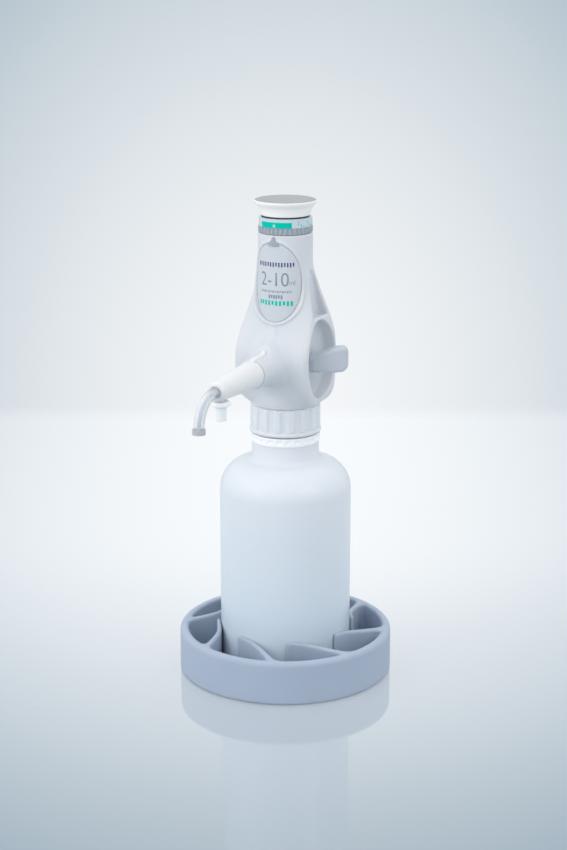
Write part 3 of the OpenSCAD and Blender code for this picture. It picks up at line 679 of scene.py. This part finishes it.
def with_recesses(body, x, y, up):
    """Cuts the oval dish and the tapering channel above it on both sides."""
    side = abs(x)
    oval = ((y - DISH_BACK) / DISH_W) ** 2 + ((up - DISH_UP) / DISH_H) ** 2
    dish = smax((np.sqrt(oval) - 1) * DISH_W, DISH_FLOOR - side, 2.4)
    body = smax(body, -dish, 1.5)
    channel = maximum(y - eased(CHANNEL_REAR, up), -eased(CHANNEL_FRONT, up) - y)
    channel = smax(channel, CHANNEL_LOW - up, 0.8)
    channel = smax(channel, up - CHANNEL_TOP, 1.5)
    channel = smax(channel, CHANNEL_FLOOR - side, 1.2)
    return smax(body, -channel, 1.3)


def housing_form(x, y, z):
    """The housing's outside, before its bores and the latch slot are cut."""
    up = z - VALVE_Z
    around = hypot(x, y)
    body = (around - loft_radius(x, y, up)) * 0.9
    body = smax(body, BODY_LOW - up, 3.0)
    body = smin(body, smax(around - SKIRT_R, up - SKIRT_TOP, 2.0), 2.0)
    body = with_boss(body, x, y, up)
    body = with_label_seat(body, x, y, z)
    body = with_recesses(body, x, y, up)
    body = smax(body, HOUSING_LOW - z, 0.5)
    return smax(body, z - HOUSING_TOP, 1.0)


def latch_slot(x, y, up, near, far):
    """The latch's slot on top of the boss and the arm."""
    across = maximum(abs(x) - LATCH_HALF_W, LATCH_FLOOR - up)
    return maximum(across, maximum(y - near, far - y))


def housing_field(x, y, z):
    up = z - VALVE_Z
    around = hypot(x, y)
    hollows = [
        maximum(around - 23.6, z - HOUSING_LOW - 4.0),  # skirt
        maximum(around - 17.0, up + 23.0),  # valve block's flange
        maximum(around - 13.9, up - 40.0),  # measuring cylinder
        maximum(around - 16.5, 38.0 - up),  # setting sleeve
        maximum(hypot(y, up) - 4.3, -x),  # spindle
        maximum(hypot(x, up) - 5.3, y + 5.0),  # arm's spigot
        latch_slot(x, y, up, -35.4, -60.0),
    ]
    return smax(housing_form(x, y, z), -reduce(minimum, hollows), 0.3)


# Stand ring: outer wall with curved fins, all in one soft moulding
WALL = 6.2
FIN_RISE = 4.5
WALL_TOP = high("stand_ring", Z) - FIN_RISE
FIN_T = 2.7
FIN_ROOT_T = 4.8
FIN_COUNT = 8
FIN_FIRST = radians(27.5)
FIN_SWEEP = radians(35)
FIN_CURL = 3.3
FIN_STEPS = 22
FIN_OVERRUN = 1.04      # the fin's line runs a little into the wall
FIN_FADE = 1.12         # where along a fin its rise ends
RIM_W = 5.0
RIM_LIFT = 20.0         # keeps the outer rounding off the pockets
FIN_END_R = BOTTLE_R + 0.3
FIN_END_MID = FIN_END_R + FIN_T / 2
FIN_ROOT_MID = STAND_R - WALL


def fin_distance(around, angle):
    """Distance from the nearest fin's middle line, and how far along that line."""
    pitch = 2 * pi / FIN_COUNT
    turn = np.mod(angle - FIN_FIRST, pitch)
    t = np.linspace(0, 1, FIN_STEPS + 1) * FIN_OVERRUN
    radius = FIN_END_MID + (FIN_ROOT_MID - FIN_END_MID) * t ** FIN_CURL
    line = [(r * cos(s), r * sin(s)) for r, s in zip(radius, FIN_SWEEP * t)]
    best = np.full_like(around, 99.0)
    along = np.zeros_like(around)
    for neighbour in (1, 0, -1):
        px = around * np.cos(turn - neighbour * pitch)
        py = around * np.sin(turn - neighbour * pitch)
        for k in range(FIN_STEPS):
            (ax, ay), (bx, by) = line[k], line[k + 1]
            dx, dy = bx - ax, by - ay
            s = np.clip(((px - ax) * dx + (py - ay) * dy) / (dx * dx + dy * dy), 0, 1)
            gap = hypot(px - ax - s * dx, py - ay - s * dy)
            nearer = gap < best
            best = np.where(nearer, gap, best)
            along = np.where(nearer, t[k] + s * (t[k + 1] - t[k]), along)
    return best, along


def stand_field(x, y, z):
    around = hypot(x, y)
    gap, along = fin_distance(around, np.arctan2(y, x))
    fin = gap - (FIN_T + (FIN_ROOT_T - FIN_T) * np.clip(along, 0, 1) ** 2) / 2
    fin = smax(fin, FIN_END_R - around, 0.5)
    plan = smin(FIN_ROOT_MID - around, fin, 5.5)
    rise = np.clip((FIN_ROOT_MID - around) / (FIN_ROOT_MID - FIN_END_MID), 0, 1)
    top = WALL_TOP + FIN_RISE * rise * np.clip(FIN_FADE - along, 0, 1)
    shape = smax(plan, z - top, 2.2)
    inward = np.clip((STAND_R - RIM_W - around) / RIM_W, 0, 1)
    outer = smax(around - STAND_R, z - WALL_TOP - RIM_LIFT * inward, 4.0)
    return smax(maximum(shape, outer), -z, 1.8)


# Lever: a wing that is wide at the hub and thin at its outer end
LEVER_TOP = [(LEVER_NEAR, 6.6), (25, 6.7), (30, 8.6), (38, 12.2), (44, 13.6), (49, 13.9)]
LEVER_BOTTOM = [(LEVER_NEAR, 6.1), (38, 6.1), (45, 5.2), (49, 3.2)]
LEVER_HALF_W = [(LEVER_NEAR, 9.6), (26, 9.6), (47, 2.9), (49, 2.5)]
LEVER_FALL = 0.28       # slope of the top towards the front
HUB_R = 6.4
HUB_LONG = 8.0
SPINDLE_BORE_R = 4.05
SPINDLE_BORE_DEEP = 6.1


def lever_field(x, y, z):
    up = z - VALVE_Z
    top = profile(LEVER_TOP, x)
    body = smax(up - top, -profile(LEVER_BOTTOM, x) - up, 1.0)
    body = smax(body, (up - top - LEVER_FALL * y) * 0.96, 1.6)
    body = smax(body, (abs(y) - profile(LEVER_HALF_W, x)) * 0.95, 2.6)
    body = smax(body, x - LEVER_END - 0.6, 6.5)
    body = smax(body, LEVER_NEAR + 3.5 - x, 1.2)
    off = hypot(y, up)
    hub = smax(off - HUB_R, maximum(LEVER_NEAR - x, x - LEVER_NEAR - HUB_LONG), 0.6)
    bore = maximum(off - SPINDLE_BORE_R, x - LEVER_NEAR - SPINDLE_BORE_DEEP)
    return smax(smin(body, hub, 1.5), -bore, 0.3)


# Discharge arm with its spigot, parking peg, bore and latch slot, and the latch's tongue
ARM_ROOT_R = 9.7
ARM_END_R = 6.7
ARM_TAPER = [(-ARM_NEAR, ARM_ROOT_R), (-ARM_NEAR + 2, ARM_ROOT_R),
             (-ARM_FAR - 8, ARM_END_R + 0.35), (-ARM_FAR, ARM_END_R + 0.1)]
SPIGOT_R = 5.1
SPIGOT_END = -29.5
PEG_R = 2.6
DUCT_R = 2.6
NOZZLE_SEAT_DEEP = 6.2
TONGUE_LOW = 8.55


def arm_field(x, y, z):
    up = z - VALVE_Z
    off = hypot(x, up)
    body = smax(off - profile(ARM_TAPER, -y), y - ARM_NEAR, 1.3)
    body = smax(body, ARM_FAR - y, 2.2)
    body = minimum(body, maximum(off - SPIGOT_R, maximum(y - SPIGOT_END, -y - 45)))
    peg = maximum(hypot(x, y - PEG_Y) - PEG_R, maximum(PEG_LOW - z, up + 3))
    body = smin(body, peg, 0.8)
    seat = maximum(off - NOZZLE_R - 0.05, y - ARM_FAR - NOZZLE_SEAT_DEEP)
    body = smax(body, -minimum(off - DUCT_R, seat), 0.4)
    return smax(body, -latch_slot(x, y, up, -33.0, -57.7), 0.3)


def latch_field(x, y, z):
    """The tongue follows the boss and the arm, and stands a little proud of them."""
    up = z - VALVE_Z
    arm = maximum(hypot(x, up) - profile(ARM_TAPER, -y), y + 50)
    skin = minimum(housing_form(x, y, z), arm)
    body = smax(skin - 0.3, abs(x) - 2.45, 1.4)
    body = smax(body, TONGUE_LOW - up, 0.4)
    return smax(body, maximum(y + 35.6, -57.5 - y), 0.9)


def make_fields():
    field_piece("housing_shell", housing_field, "housing", "head", "white_plastic",
                fine=0.6)
    field_piece("stand_moulding", stand_field, "stand_ring", "stand", "stand_soft",
                fine=0.95)
    field_piece("lever_wing", lever_field, "valve_lever", "lever", "grey_plastic",
                fine=0.42, material="lever_grey")
    field_piece("arm_moulding", arm_field, "discharge_arm", "head", "arm_plastic",
                fine=0.5)
    field_piece("latch_tongue", latch_field, "arm_latch", "head", SLOTS["arm_latch"],
                fine=0.3, material="arm_plastic",
                span=([-2.6, -57.6, VALVE_Z + 8.5], [2.6, -35.5, VALVE_Z + 13.6]))


def make_nozzle():
    """The bent tube: straight out of the arm, a quarter turn, then straight down."""
    bend_r = 20.0
    bend_steps = 29
    bend_y = NOZZLE_Y + bend_r
    route = [(0, y, VALVE_Z) for y in np.linspace(ARM_FAR + 6, bend_y, 8)]
    for k in range(1, bend_steps):
        a = radians(90 * k / bend_steps)
        route.append((0, bend_y - bend_r * sin(a), VALVE_Z - bend_r + bend_r * cos(a)))
    route += [(0, NOZZLE_Y, z) for z in np.linspace(VALVE_Z - bend_r, low("nozzle_tube", Z), 6)]
    mesh_piece("nozzle_pipe", *swept(route, NOZZLE_R, 1.25, 40), "head", "clear_tube",
               ["nozzle_tube"], crisp=50)
    # The bore wall's blue is partly a painted highlight, for the refracted line of liquid in the
    # bore.
    mesh_piece("nozzle_bore_wall", *swept(route, 1.24, 1.1, 20), "head", "clear_tube",
               material="bore_liquid_and_painted_highlight", crisp=50)


BOTTLE_WALL = 1.6
FOOT_R = 5.0
SHOULDER_Z = 137.0
SHOULDER_H = 22.5
NECK_R = 24.2
THREAD_R = 21.6
THREAD_TURNS = 2.4
THREAD_PITCH = 4.0
THREAD_LOW = NECK_STEP + 9.5
THREAD_HALF = 0.72
THREAD_FLAT = 0.6       # the ridge's rise per half height


def bottle_side(inset):
    """The bottle's side from its foot to its neck, at a depth inside the surface."""
    r = BOTTLE_R - inset
    neck = NECK_R - inset + 0.2
    a = np.radians(np.arange(0, 91, 10))
    foot = (r - FOOT_R + FOOT_R * np.sin(a), FOOT_R + inset - FOOT_R * np.cos(a))
    a = np.radians(np.arange(0, 85, 4))
    shoulder = (neck + (r - neck) * np.cos(a),
                SHOULDER_Z - inset / 2 + (SHOULDER_H - inset / 2) * np.sin(a))
    return [*zip(*foot), *zip(*shoulder)]


def make_bottle():
    """Blow-moulded bottle with a foot ring, full shoulder and moulded neck."""
    bore = THREAD_R - 2.2
    top = rounded([(NECK_R, NECK_STEP - 1.2, 0), (NECK_R, NECK_STEP, 0.7),
                   (THREAD_R, NECK_STEP, 0.6), (THREAD_R, BOTTLE_TOP, 0.8),
                   (bore, BOTTLE_TOP, 0.6), (bore, NECK_STEP - 2, 0)])
    base = rounded([(0, 4.2, 0), (0, 1.8, 0), (34.5, 1.8, 0.6), (37.4, 0.0, 0.8), (40, 0, 0)])
    outline = (base + bottle_side(0) + [(NECK_R, SHOULDER_Z + SHOULDER_H + 3)] + top
               + bottle_side(BOTTLE_WALL)[::-1] + [(38, 4.2)])
    mesh_piece("bottle_shell", *turned(outline, 160), "bottle", "bottle_plastic", ["bottle"],
               crisp=45)


def make_thread(sides=10, per_turn=60, fade_steps=14):
    """The bottle's thread: a rounded helical ridge that fades out at both ends."""
    steps = THREAD_TURNS * per_turn
    k = np.arange(int(steps) + 1)
    a = 2 * pi * k / per_turn
    fade = minimum(1.0, minimum(k, steps - k) / fade_steps)
    out = np.stack([np.cos(a), np.sin(a), 0 * a], axis=1)
    route = out * (THREAD_R - 0.75 + 0.7 * fade)[:, None]
    route[:, Z] = THREAD_LOW + THREAD_PITCH * k / per_turn
    angle = circle(sides)[None, :, None]
    ring = (np.cos(angle) * out[:, None, :] * THREAD_HALF * THREAD_FLAT
            + np.sin(angle) * [0.0, 0.0, 1.0] * THREAD_HALF)
    points = (route[:, None, :] + ring).reshape(-1, 3)
    faces = tube_faces(len(route), sides)
    faces += [tuple(range(sides))[::-1], last_ring(len(route), sides)]
    thread = mesh_piece("bottle_thread", points, faces, "bottle", "bottle_plastic")
    weld(thread.data)


def make_collar():
    z, top = ends("screw_collar", Z)
    ribs_top = HOUSING_LOW - 0.3
    flange = high("screw_collar", X)
    root = 23.75
    path = [(22.1, z, 0.4, 0), (flange - 0.5, z, 0.25, 0), (flange, z + 1.2, 0.8, 0),
            (flange - 0.2, z + 2.7, 0.6, 0), (root + 0.1, z + 2.9, 0.3, 0.6),
            (root, z + 3.6, 0, 1)]
    path += [(root, z + 3.6 + (ribs_top - z - 6.2) * k / 6, 0, 1) for k in range(1, 7)]
    path += [(root - 0.1, ribs_top - 1.2, 0.5, 0.9), (root - 0.3, ribs_top, 0.4, 0),
             (23.3, ribs_top, 0, 0), (23.3, top, 0.4, 0), (17.1, top, 0.3, 0),
             (17.1, top - 1.8, 0.2, 0), (22.1, top - 1.8, 0, 0)]
    ribbed_piece("collar_moulding", path, "collar", "collar_plastic", "screw_collar",
                 ribs=16, per_rib=30, flat=0.55, soft=0.22, depth=1.5, crisp=45)


def make_tamper_ring():
    z, top = NECK_STEP, high("tamper_ring", Z)
    r = high("tamper_ring", X)
    depth = 0.8
    root = r - depth
    path = [(21.9, z, 0.2, 0), (r, z, 0.5, 0), (r, z + 2.0, 0.2, 0), (root, z + 2.5, 0.2, 1),
            (root, top - 1.9, 0.2, 1), (r - 0.1, top - 1.3, 0.2, 0.125), (r - 0.1, top, 0.15, 0),
            (21.9, top, 0.2, 0)]
    ribbed_piece("tamper_band", path, "bottle", "ring_white", "tamper_ring",
                 ribs=24, per_rib=20, flat=0.5, soft=0.12, depth=depth, crisp=42)


def make_grip_ring():
    z, top = ends("grip_ring", Z)
    r = COLUMN_R
    depth = 1.15
    path = [(15.05, z, 0, 0), (r - 0.8, z, 0.3, 0.4), (r - depth, z + 0.5, 0, 1),
            (r - depth, top - 0.5, 0, 1), (r - 0.8, top, 0.3, 0.4), (15.05, top, 0, 0)]
    ribbed_piece("grip_knurl", path, "setting", "grip_grey", "grip_ring",
                 ribs=36, per_rib=14, flat=0.42, soft=0.24, depth=depth, crisp=50)


def make_knob():
    """Flared push knob with a thin lip round the inset disc."""
    z, top = ends("push_knob", Z)
    r = high("push_knob", X)
    path = [(17.3, z, 0.5), (18.1, z + 3.2, 4), (19.3, z + 6.0, 5), (r - 0.5, top - 2.3, 1.4),
            (r, top - 1.2, 0.6), (r - 0.1, top - 0.3, 0.2), (r - 0.6, top - 0.3, 0.1),
            (r - 0.65, top - 1.5, 0), (0, top - 1.5, 0), (0, z + 4.05, 0), (4.45, z + 4.05, 0),
            (4.45, z, 0), (6.4, z, 0), (6.4, z + 8, 0), (11.0, z + 8, 0), (11.0, z, 0),
            (12.15, z, 0), (12.15, z + 3.05, 0), (13.65, z + 3.05, 0), (13.65, z, 0),
            (14.5, z, 0), (14.5, z + 8, 0), (15.3, z + 8, 0), (15.3, z, 0.2)]
    turned_piece("knob_shell", path, "plunger", "knob_white", ["push_knob"])
    disc, floor, crown = r - 0.72, top - 1.48, high("knob_disc", Z)
    path = [(0, floor, 0), (disc, floor, 0), (disc, crown - 0.5, 0.45),
            (disc * 0.8, crown - 0.12, 3), (disc * 0.45, crown, 3), (0, crown, 0)]
    turned_piece("knob_inlay", path, "plunger", "knob_grey", ["knob_disc"])


def make_cap():
    bottom, top = ends("closure_cap", Z)
    path = [(0, bottom, 0), (3.7, bottom, 0.7), (3.9, top - 4.4, 0.8), (4.6, top - 3.4, 0.4),
            (6.5, top - 3.1, 0.6), (6.5, top - 0.6, 0.6), (5.6, top, 0.3), (2.65, top, 0.2),
            (2.65, PEG_LOW - 0.9, 0), (0, PEG_LOW - 0.9, 0)]
    # The cap's material is a lighter copy of the arm's plastic, painted light against the arm's
    # shadow.
    turned_piece("cap_moulding", path, "cap", "arm_plastic", ["closure_cap"], 64, "cap_plastic_painted_light",
                 PEG_Y)


def make_label():
    """The oval plate, wrapped round the column, with a softly rounded edge."""
    rings, sides = 14, 96
    angle = circle(sides)
    half_w = COLUMN_R * LABEL_TURN
    steps = [(-1.15, 1.0), (-0.3, 1.0), (-0.05, 0.985)]
    steps += [(0.0, 0.97 * (1 - k / rings)) for k in range(rings)]
    points = []
    for depth, share in steps:
        even = 1 - (1 - share) * half_w / LABEL_HALF_H
        up = LABEL_HALF_H * (even if share > 0.95 else share) * np.sin(angle)
        turn = half_w * share * np.cos(angle) / COLUMN_R
        points.append(wrap(turn, LABEL_R + depth, LABEL_MID + up))
    faces = tube_faces(len(steps), sides) + [last_ring(len(steps), sides)]
    obj = mesh_piece("label_inlay", np.concatenate(points), faces, "head", "label_face",
                     ["label_plate"])
    with edited(obj.data) as bm:
        bmesh.ops.contextual_create(bm, geom=[e for e in bm.edges if e.is_boundary])
        turn_outward(bm)


def make_pointer():
    """A wedge with a ridge down its middle, pointing up at the scale."""
    base, tip = ends("pointer", Z)
    wide = high("pointer", X) / COLUMN_R
    front = -low("pointer", Y)
    back = COLUMN_R - 0.3
    places = [(-wide, back, base), (wide, back, base), (0, back, tip),
              (-wide, front - 0.55, base), (wide, front - 0.55, base), (0, front - 0.35, tip),
              (0, front, base), (0, back, base)]
    faces = [(3, 6, 5), (6, 4, 5), (0, 3, 5, 2), (1, 2, 5, 4), (0, 7, 6, 3), (7, 1, 4, 6),
             (0, 2, 7), (7, 2, 1)]
    obj = mesh_piece("pointer_wedge", [wrap(*place) for place in places], faces, "head",
                     SLOTS["pointer"], ["pointer"], "grey_plastic")
    with edited(obj.data) as bm:
        turn_outward(bm)
        steep = [e for e in bm.edges if e.calc_face_angle(0) > 0.2]
        bmesh.ops.bevel(bm, geom=steep, offset=0.22 * MM, segments=3, affect="EDGES",
                        profile=0.5)
    sharpen(obj.data, 25)


# Printed marks. Each goes on a face, given as its radius, body and slot.
ON_LABEL = (LABEL_R, "head", "label_face")
ON_SCALE = (SCALE_R, "setting", "scale_band")
TEXT_SINK = 0.02
TEXT_RISE = 0.06
PATCH_SINK = 0.03
PATCH_RISE = 0.05


def wrapped_text(name, words, size, turn, z, face, ink, thin, squeeze=1.0):
    """Raised print: words centred at an angle round the column, cut fine enough to bend."""
    radius, body, slot = face
    curve = bpy.data.curves.new(name + "_curve", "FONT")
    curve.body = words
    curve.size = size
    curve.align_x = curve.align_y = "CENTER"
    curve.offset = thin
    carrier = add_object(name + "_carrier", curve)
    bpy.context.view_layer.update()
    mesh = bpy.data.meshes.new_from_object(carrier)
    bpy.data.objects.remove(carrier)
    bpy.data.curves.remove(curve)
    with edited(mesh) as bm:
        for v in bm.verts:
            v.co.x *= squeeze
        span = max(abs(v.co.x) for v in bm.verts) + 0.01
        cuts = max(2, int(span * 2 / 0.7))
        for k in range(1, cuts):
            everything = bm.verts[:] + bm.edges[:] + bm.faces[:]
            bmesh.ops.bisect_plane(bm, geom=everything, plane_no=(1, 0, 0),
                                   plane_co=(-span + 2 * span * k / cuts, 0, 0))
        side = bmesh.ops.extrude_face_region(bm, geom=bm.faces[:])
        for v in side["geom"]:
            if isinstance(v, bmesh.types.BMVert):
                v.co.z += TEXT_RISE
        for v in bm.verts:
            v.co = wrap(turn + v.co.x / radius, radius - TEXT_SINK + v.co.z, z + v.co.y)
        turn_outward(bm)
        for v in bm.verts:
            v.co *= MM
    obj = add_object(name, mesh)
    mesh.materials.clear()
    mesh.materials.append(M["print_" + ink])
    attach(obj, body)


def band_patches(name, areas, face, ink):
    """Thin printed rectangles (from turn, to turn, from z, to z) that follow the column."""
    radius, body, slot = face
    points, faces = [], []
    for from_turn, to_turn, from_z, to_z in areas:
        steps = max(2, int(abs(to_turn - from_turn) * radius / 0.6))
        start = len(points)
        end = start + 4 * steps
        points += [wrap(a, r, z) for a in np.linspace(from_turn, to_turn, steps + 1)
                   for r in (radius - PATCH_SINK, radius + PATCH_RISE) for z in (from_z, to_z)]
        for i in range(start, end, 4):
            j = i + 4
            faces += [(i, j, j + 1, i + 1), (i + 2, i + 3, j + 3, j + 2), (i, i + 2, j + 2, j),
                      (i + 1, j + 1, j + 3, i + 3)]
        faces += [(start, start + 1, start + 3, start + 2), (end, end + 2, end + 3, end + 1)]
    mesh_piece(name, points, faces, body, slot, material="print_" + ink, crisp=30)


def make_label_prints():
    """The volume range, with rows of plain bars."""
    wrapped_text("print_range", "2-10", 13.8, 0.0, LABEL_MID + 2.0, ON_LABEL, "grey",
                 -0.09, 0.9)
    wrapped_text("print_unit", "ml", 5.4, 0.68, LABEL_MID + 0.2, ON_LABEL, "grey",
                 -0.06, 0.9)
    for name, ink, first, last, count, share, lower, upper in [
            ("top", "navy", -0.66, 0.8, 14, 0.5, 11.2, 14.4),
            ("fine", "grey", -0.55, 0.68, 20, 0.5, -7.0, -5.4),
            ("mid", "grey", -0.2, 0.36, 6, 0.66, -11.2, -8.4),
            ("low", "teal", -0.64, 0.76, 10, 0.6, -16.0, -12.6)]:
        pitch = (last - first) / count
        bars = [(first + k * pitch, first + (k + share) * pitch,
                 LABEL_MID + lower + (k % 3 == 1) * 0.5, LABEL_MID + upper)
                for k in range(count)]
        band_patches("print_bars_" + name, bars, ON_LABEL, ink)


def make_zero_mark():
    """Small open diamond that marks zero."""
    size, line, stretch = 1.05, 0.24, 1.15
    points, faces = [], []
    for quarter in range(4):
        a = quarter * pi / 2
        for reach in (size, size - line * 1.4):
            for out in (0.02, 0.09):
                points.append(wrap(reach * cos(a) / SCALE_R, SCALE_R + out,
                                   SCALE_LOW + 1.6 + reach * sin(a) * stretch))
    for this, following in loop(4):
        i, j = 4 * this, 4 * following
        faces += [(i, j, j + 1, i + 1), (i + 3, j + 3, j + 2, i + 2), (i + 1, j + 1, j + 3, i + 3),
                  (i + 2, j + 2, j, i)]
    mesh_piece("print_zero_mark", points, faces, "setting", "scale_band",
               material="print_white", crisp=20)


def make_scale_prints():
    """The coloured bar with its zero mark, and the ticks and numbers."""
    bar_mid, bar_half = radians(1.6), radians(37)
    bar = (bar_mid - bar_half, bar_mid + bar_half, SCALE_LOW + 0.05, SCALE_LOW + 4.1)
    band_patches("print_zero_bar", [bar], ON_SCALE, "teal")
    make_zero_mark()
    first, per, numbers, parts = radians(61.4), radians(25), 9, 5
    tick_low = SCALE_LOW + 0.25
    ticks = []
    for k in range(numbers):
        at = first + k * per
        ticks.append((at - 0.014, at + 0.014, tick_low, SCALE_LOW + 2.9))
        wrapped_text(f"print_number_{k + 2}", str(k + 2), 3.4, at - 0.13, SCALE_LOW + 3.4,
                     ON_SCALE, "teal", -0.01)
        if k < numbers - 1:
            for m in range(1, parts):
                small = at + per * m / parts
                ticks.append((small - 0.008, small + 0.008, tick_low, SCALE_LOW + 1.55))
    band_patches("print_scale_lines", ticks, ON_SCALE, "teal")


make_fields()
make_nozzle()
make_bottle()
make_thread()
make_collar()
make_tamper_ring()
make_knob()
make_grip_ring()
make_cap()
make_label()
make_pointer()
make_label_prints()
make_scale_prints()


# Studio: camera, paper, floor and lamps, in metres
AZIMUTH = radians(25)
PITCH = radians(15.4)
FOCAL_PX = 1800.0
IMAGE_LONG_PX = 850.0
SENSOR_MM = 36.0
AIM_Z = 0.1835
DISTANCE = 1.294
SIDE_STEP = -0.00137
ACROSS = (cos(AZIMUTH), sin(AZIMUTH), 0.0)
AWAY = (-sin(AZIMUTH), cos(AZIMUTH), 0.0)
UPWARD = (0.0, 0.0, 1.0)
PAPER_LIGHT = tone((245, 247, 249))
PAPER_DARK = tone((180, 195, 205))
# The two floor tones below are the ends of the floor's painted shade gradient.
FLOOR_LIGHT = tone((252, 253, 254))
FLOOR_PAINTED_SHADE = tone((154, 170, 182))
FLOOR_R = 1.1
FLOOR_Z = -0.0002


def make_camera():
    data = bpy.data.cameras.new("camera")
    data.sensor_width = SENSOR_MM
    data.lens = FOCAL_PX / IMAGE_LONG_PX * SENSOR_MM
    camera = add_object("camera", data)
    flat = DISTANCE * cos(PITCH)
    side, back = np.array(ACROSS) * SIDE_STEP, np.array(AWAY) * flat
    camera.location = side - back + (0, 0, AIM_Z + DISTANCE * sin(PITCH))
    camera.rotation_euler = (pi / 2 - PITCH, 0, AZIMUTH)
    scene.camera = camera


def along(tree, vector, direction):
    """How far a vector reaches along a fixed direction."""
    return maths(tree, "DOT_PRODUCT", vector, direction, kind="VectorMath")


def seen_directly(tree):
    """1 for rays from the camera, or seen in gloss or through clear pieces."""
    ray = node(tree, "LightPath").outputs
    seen = maths(tree, "MAXIMUM", ray["Is Camera Ray"], ray["Is Glossy Ray"])
    return maths(tree, "MAXIMUM", seen, ray["Is Transmission Ray"])


def make_world():
    """Studio paper: a bright pool of light behind the object that falls off to the edges."""
    world = bpy.data.worlds.new("studio")
    world.use_nodes = True
    scene.world = world
    tree = world.node_tree
    tree.nodes.clear()
    where = node(tree, "TexCoord").outputs["Generated"]
    pool_wide, pool_mid, pool_tall = 0.155, 0.25, 0.19
    wide = maths(tree, "DIVIDE", along(tree, where, ACROSS), pool_wide)
    rise = maths(tree, "ABSOLUTE", along(tree, where, UPWARD))
    tall = maths(tree, "DIVIDE", maths(tree, "SUBTRACT", rise, pool_mid), pool_tall)
    far = maths(tree, "MULTIPLY_ADD", tall, tall, maths(tree, "MULTIPLY", wide, wide))
    far = maths(tree, "MULTIPLY", maths(tree, "POWER", far, 0.8), 0.5)
    far = maths(tree, "MINIMUM", far, 1.0)
    shown = node(tree, "Background", Strength=1.0,
                 Color=tinted(tree, far, PAPER_LIGHT, PAPER_DARK))
    lit = node(tree, "Background", Strength=0.98, Color=tone((246, 248, 250)))
    paper = mixed(tree, seen_directly(tree), lit.outputs[0], shown.outputs[0])
    node(tree, "OutputWorld", Surface=paper)


def make_floor():
    """A pale glossy table that mirrors the object softly and fades out at its far edge. Its colour
    carries painted shade, darker towards the front and to the sides, and the camera sees it partly
    glow with that colour: painted light.
    """
    count = 96
    mesh = bpy.data.meshes.new("floor")
    ring = [(FLOOR_R * cos(a), FLOOR_R * sin(a), 0) for a in circle(count)]
    mesh.from_pydata(ring, [], [tuple(range(count))])
    floor = add_object("floor", mesh)
    floor.location.z = FLOOR_Z
    tree, shader, where = new_material("floor_gloss")
    behind = along(tree, where, AWAY)
    across = along(tree, where, ACROSS)
    # Painted shade: the floor's colour darkens towards the front and out to the sides, in place of
    # the lamps' falloff.
    near = ranged(tree, behind, (-0.42, 0.3), (1.0, 0.0), "SMOOTHSTEP")
    shade = maths(tree, "MULTIPLY_ADD", maths(tree, "MULTIPLY", across, across), 2.2, near)
    colour = tinted(tree, maths(tree, "MINIMUM", shade, 1.0), FLOOR_LIGHT, FLOOR_PAINTED_SHADE)
    dial(shader, Base_Color=colour, Roughness=0.9, Specular_IOR_Level=0.0)
    # Painted light: for the camera the floor partly glows with its painted colour.
    painted_glow = node(tree, "Emission", Strength=1.0, Color=colour).outputs[0]
    seen = node(tree, "LightPath").outputs["Is Camera Ray"]
    paper = mixed(tree, maths(tree, "MULTIPLY", seen, 0.6), shader.outputs[0], painted_glow)
    mirror = node(tree, "BsdfGlossy", Roughness=0.03, Color=(0.96, 0.98, 1.0, 1.0)).outputs[0]
    shine = ranged(tree, behind, (-0.34, -0.02), (0.16, 0.5))
    table = mixed(tree, shine, paper, mirror)
    radius = maths(tree, "LENGTH", where, kind="VectorMath")
    beyond = maths(tree, "MAXIMUM", ranged(tree, radius, (0.78, 1.05), WHOLE, "SMOOTHSTEP"),
                   ranged(tree, behind, (0.68, 0.76), WHOLE, "SMOOTHSTEP"))
    open_air = node(tree, "BsdfTransparent").outputs[0]
    dial(tree.nodes["Material Output"], Surface=mixed(tree, beyond, table, open_air))
    mesh.materials.append(M["floor_gloss"])


def area_lamp(name, azimuth, distance, height, size, power, colour, in_gloss=False):
    """A square-on lamp at a bearing round the object, aimed at its middle."""
    data = bpy.data.lights.new(name, "AREA")
    data.shape = "RECTANGLE"
    data.size, data.size_y = size
    data.energy = power
    data.color = colour
    lamp = add_object(name, data)
    a = radians(azimuth)
    lamp.location = (distance * sin(a), -distance * cos(a), height)
    lamp.visible_glossy = in_gloss
    aim = (0, 0, 0.2)
    direction = [to - at for to, at in zip(aim, lamp.location)]
    flat = math.hypot(direction[0], direction[1])
    lamp.rotation_euler = (pi / 2 - math.atan2(-direction[2], flat), 0,
                           math.atan2(direction[1], direction[0]) - pi / 2)


make_camera()
make_world()
make_floor()
area_lamp("key", -35, 1.1, 0.8, (0.8, 1.0), 5.4, (1.0, 0.99, 0.97))
area_lamp("fill", 72, 1.3, 1.0, (0.5, 0.7), 2.3, (0.95, 0.98, 1.0), in_gloss=True)
area_lamp("top", 160, 0.5, 1.5, (1.0, 1.0), 3.4, (1, 1, 1))

scene.view_settings.view_transform = "Standard"
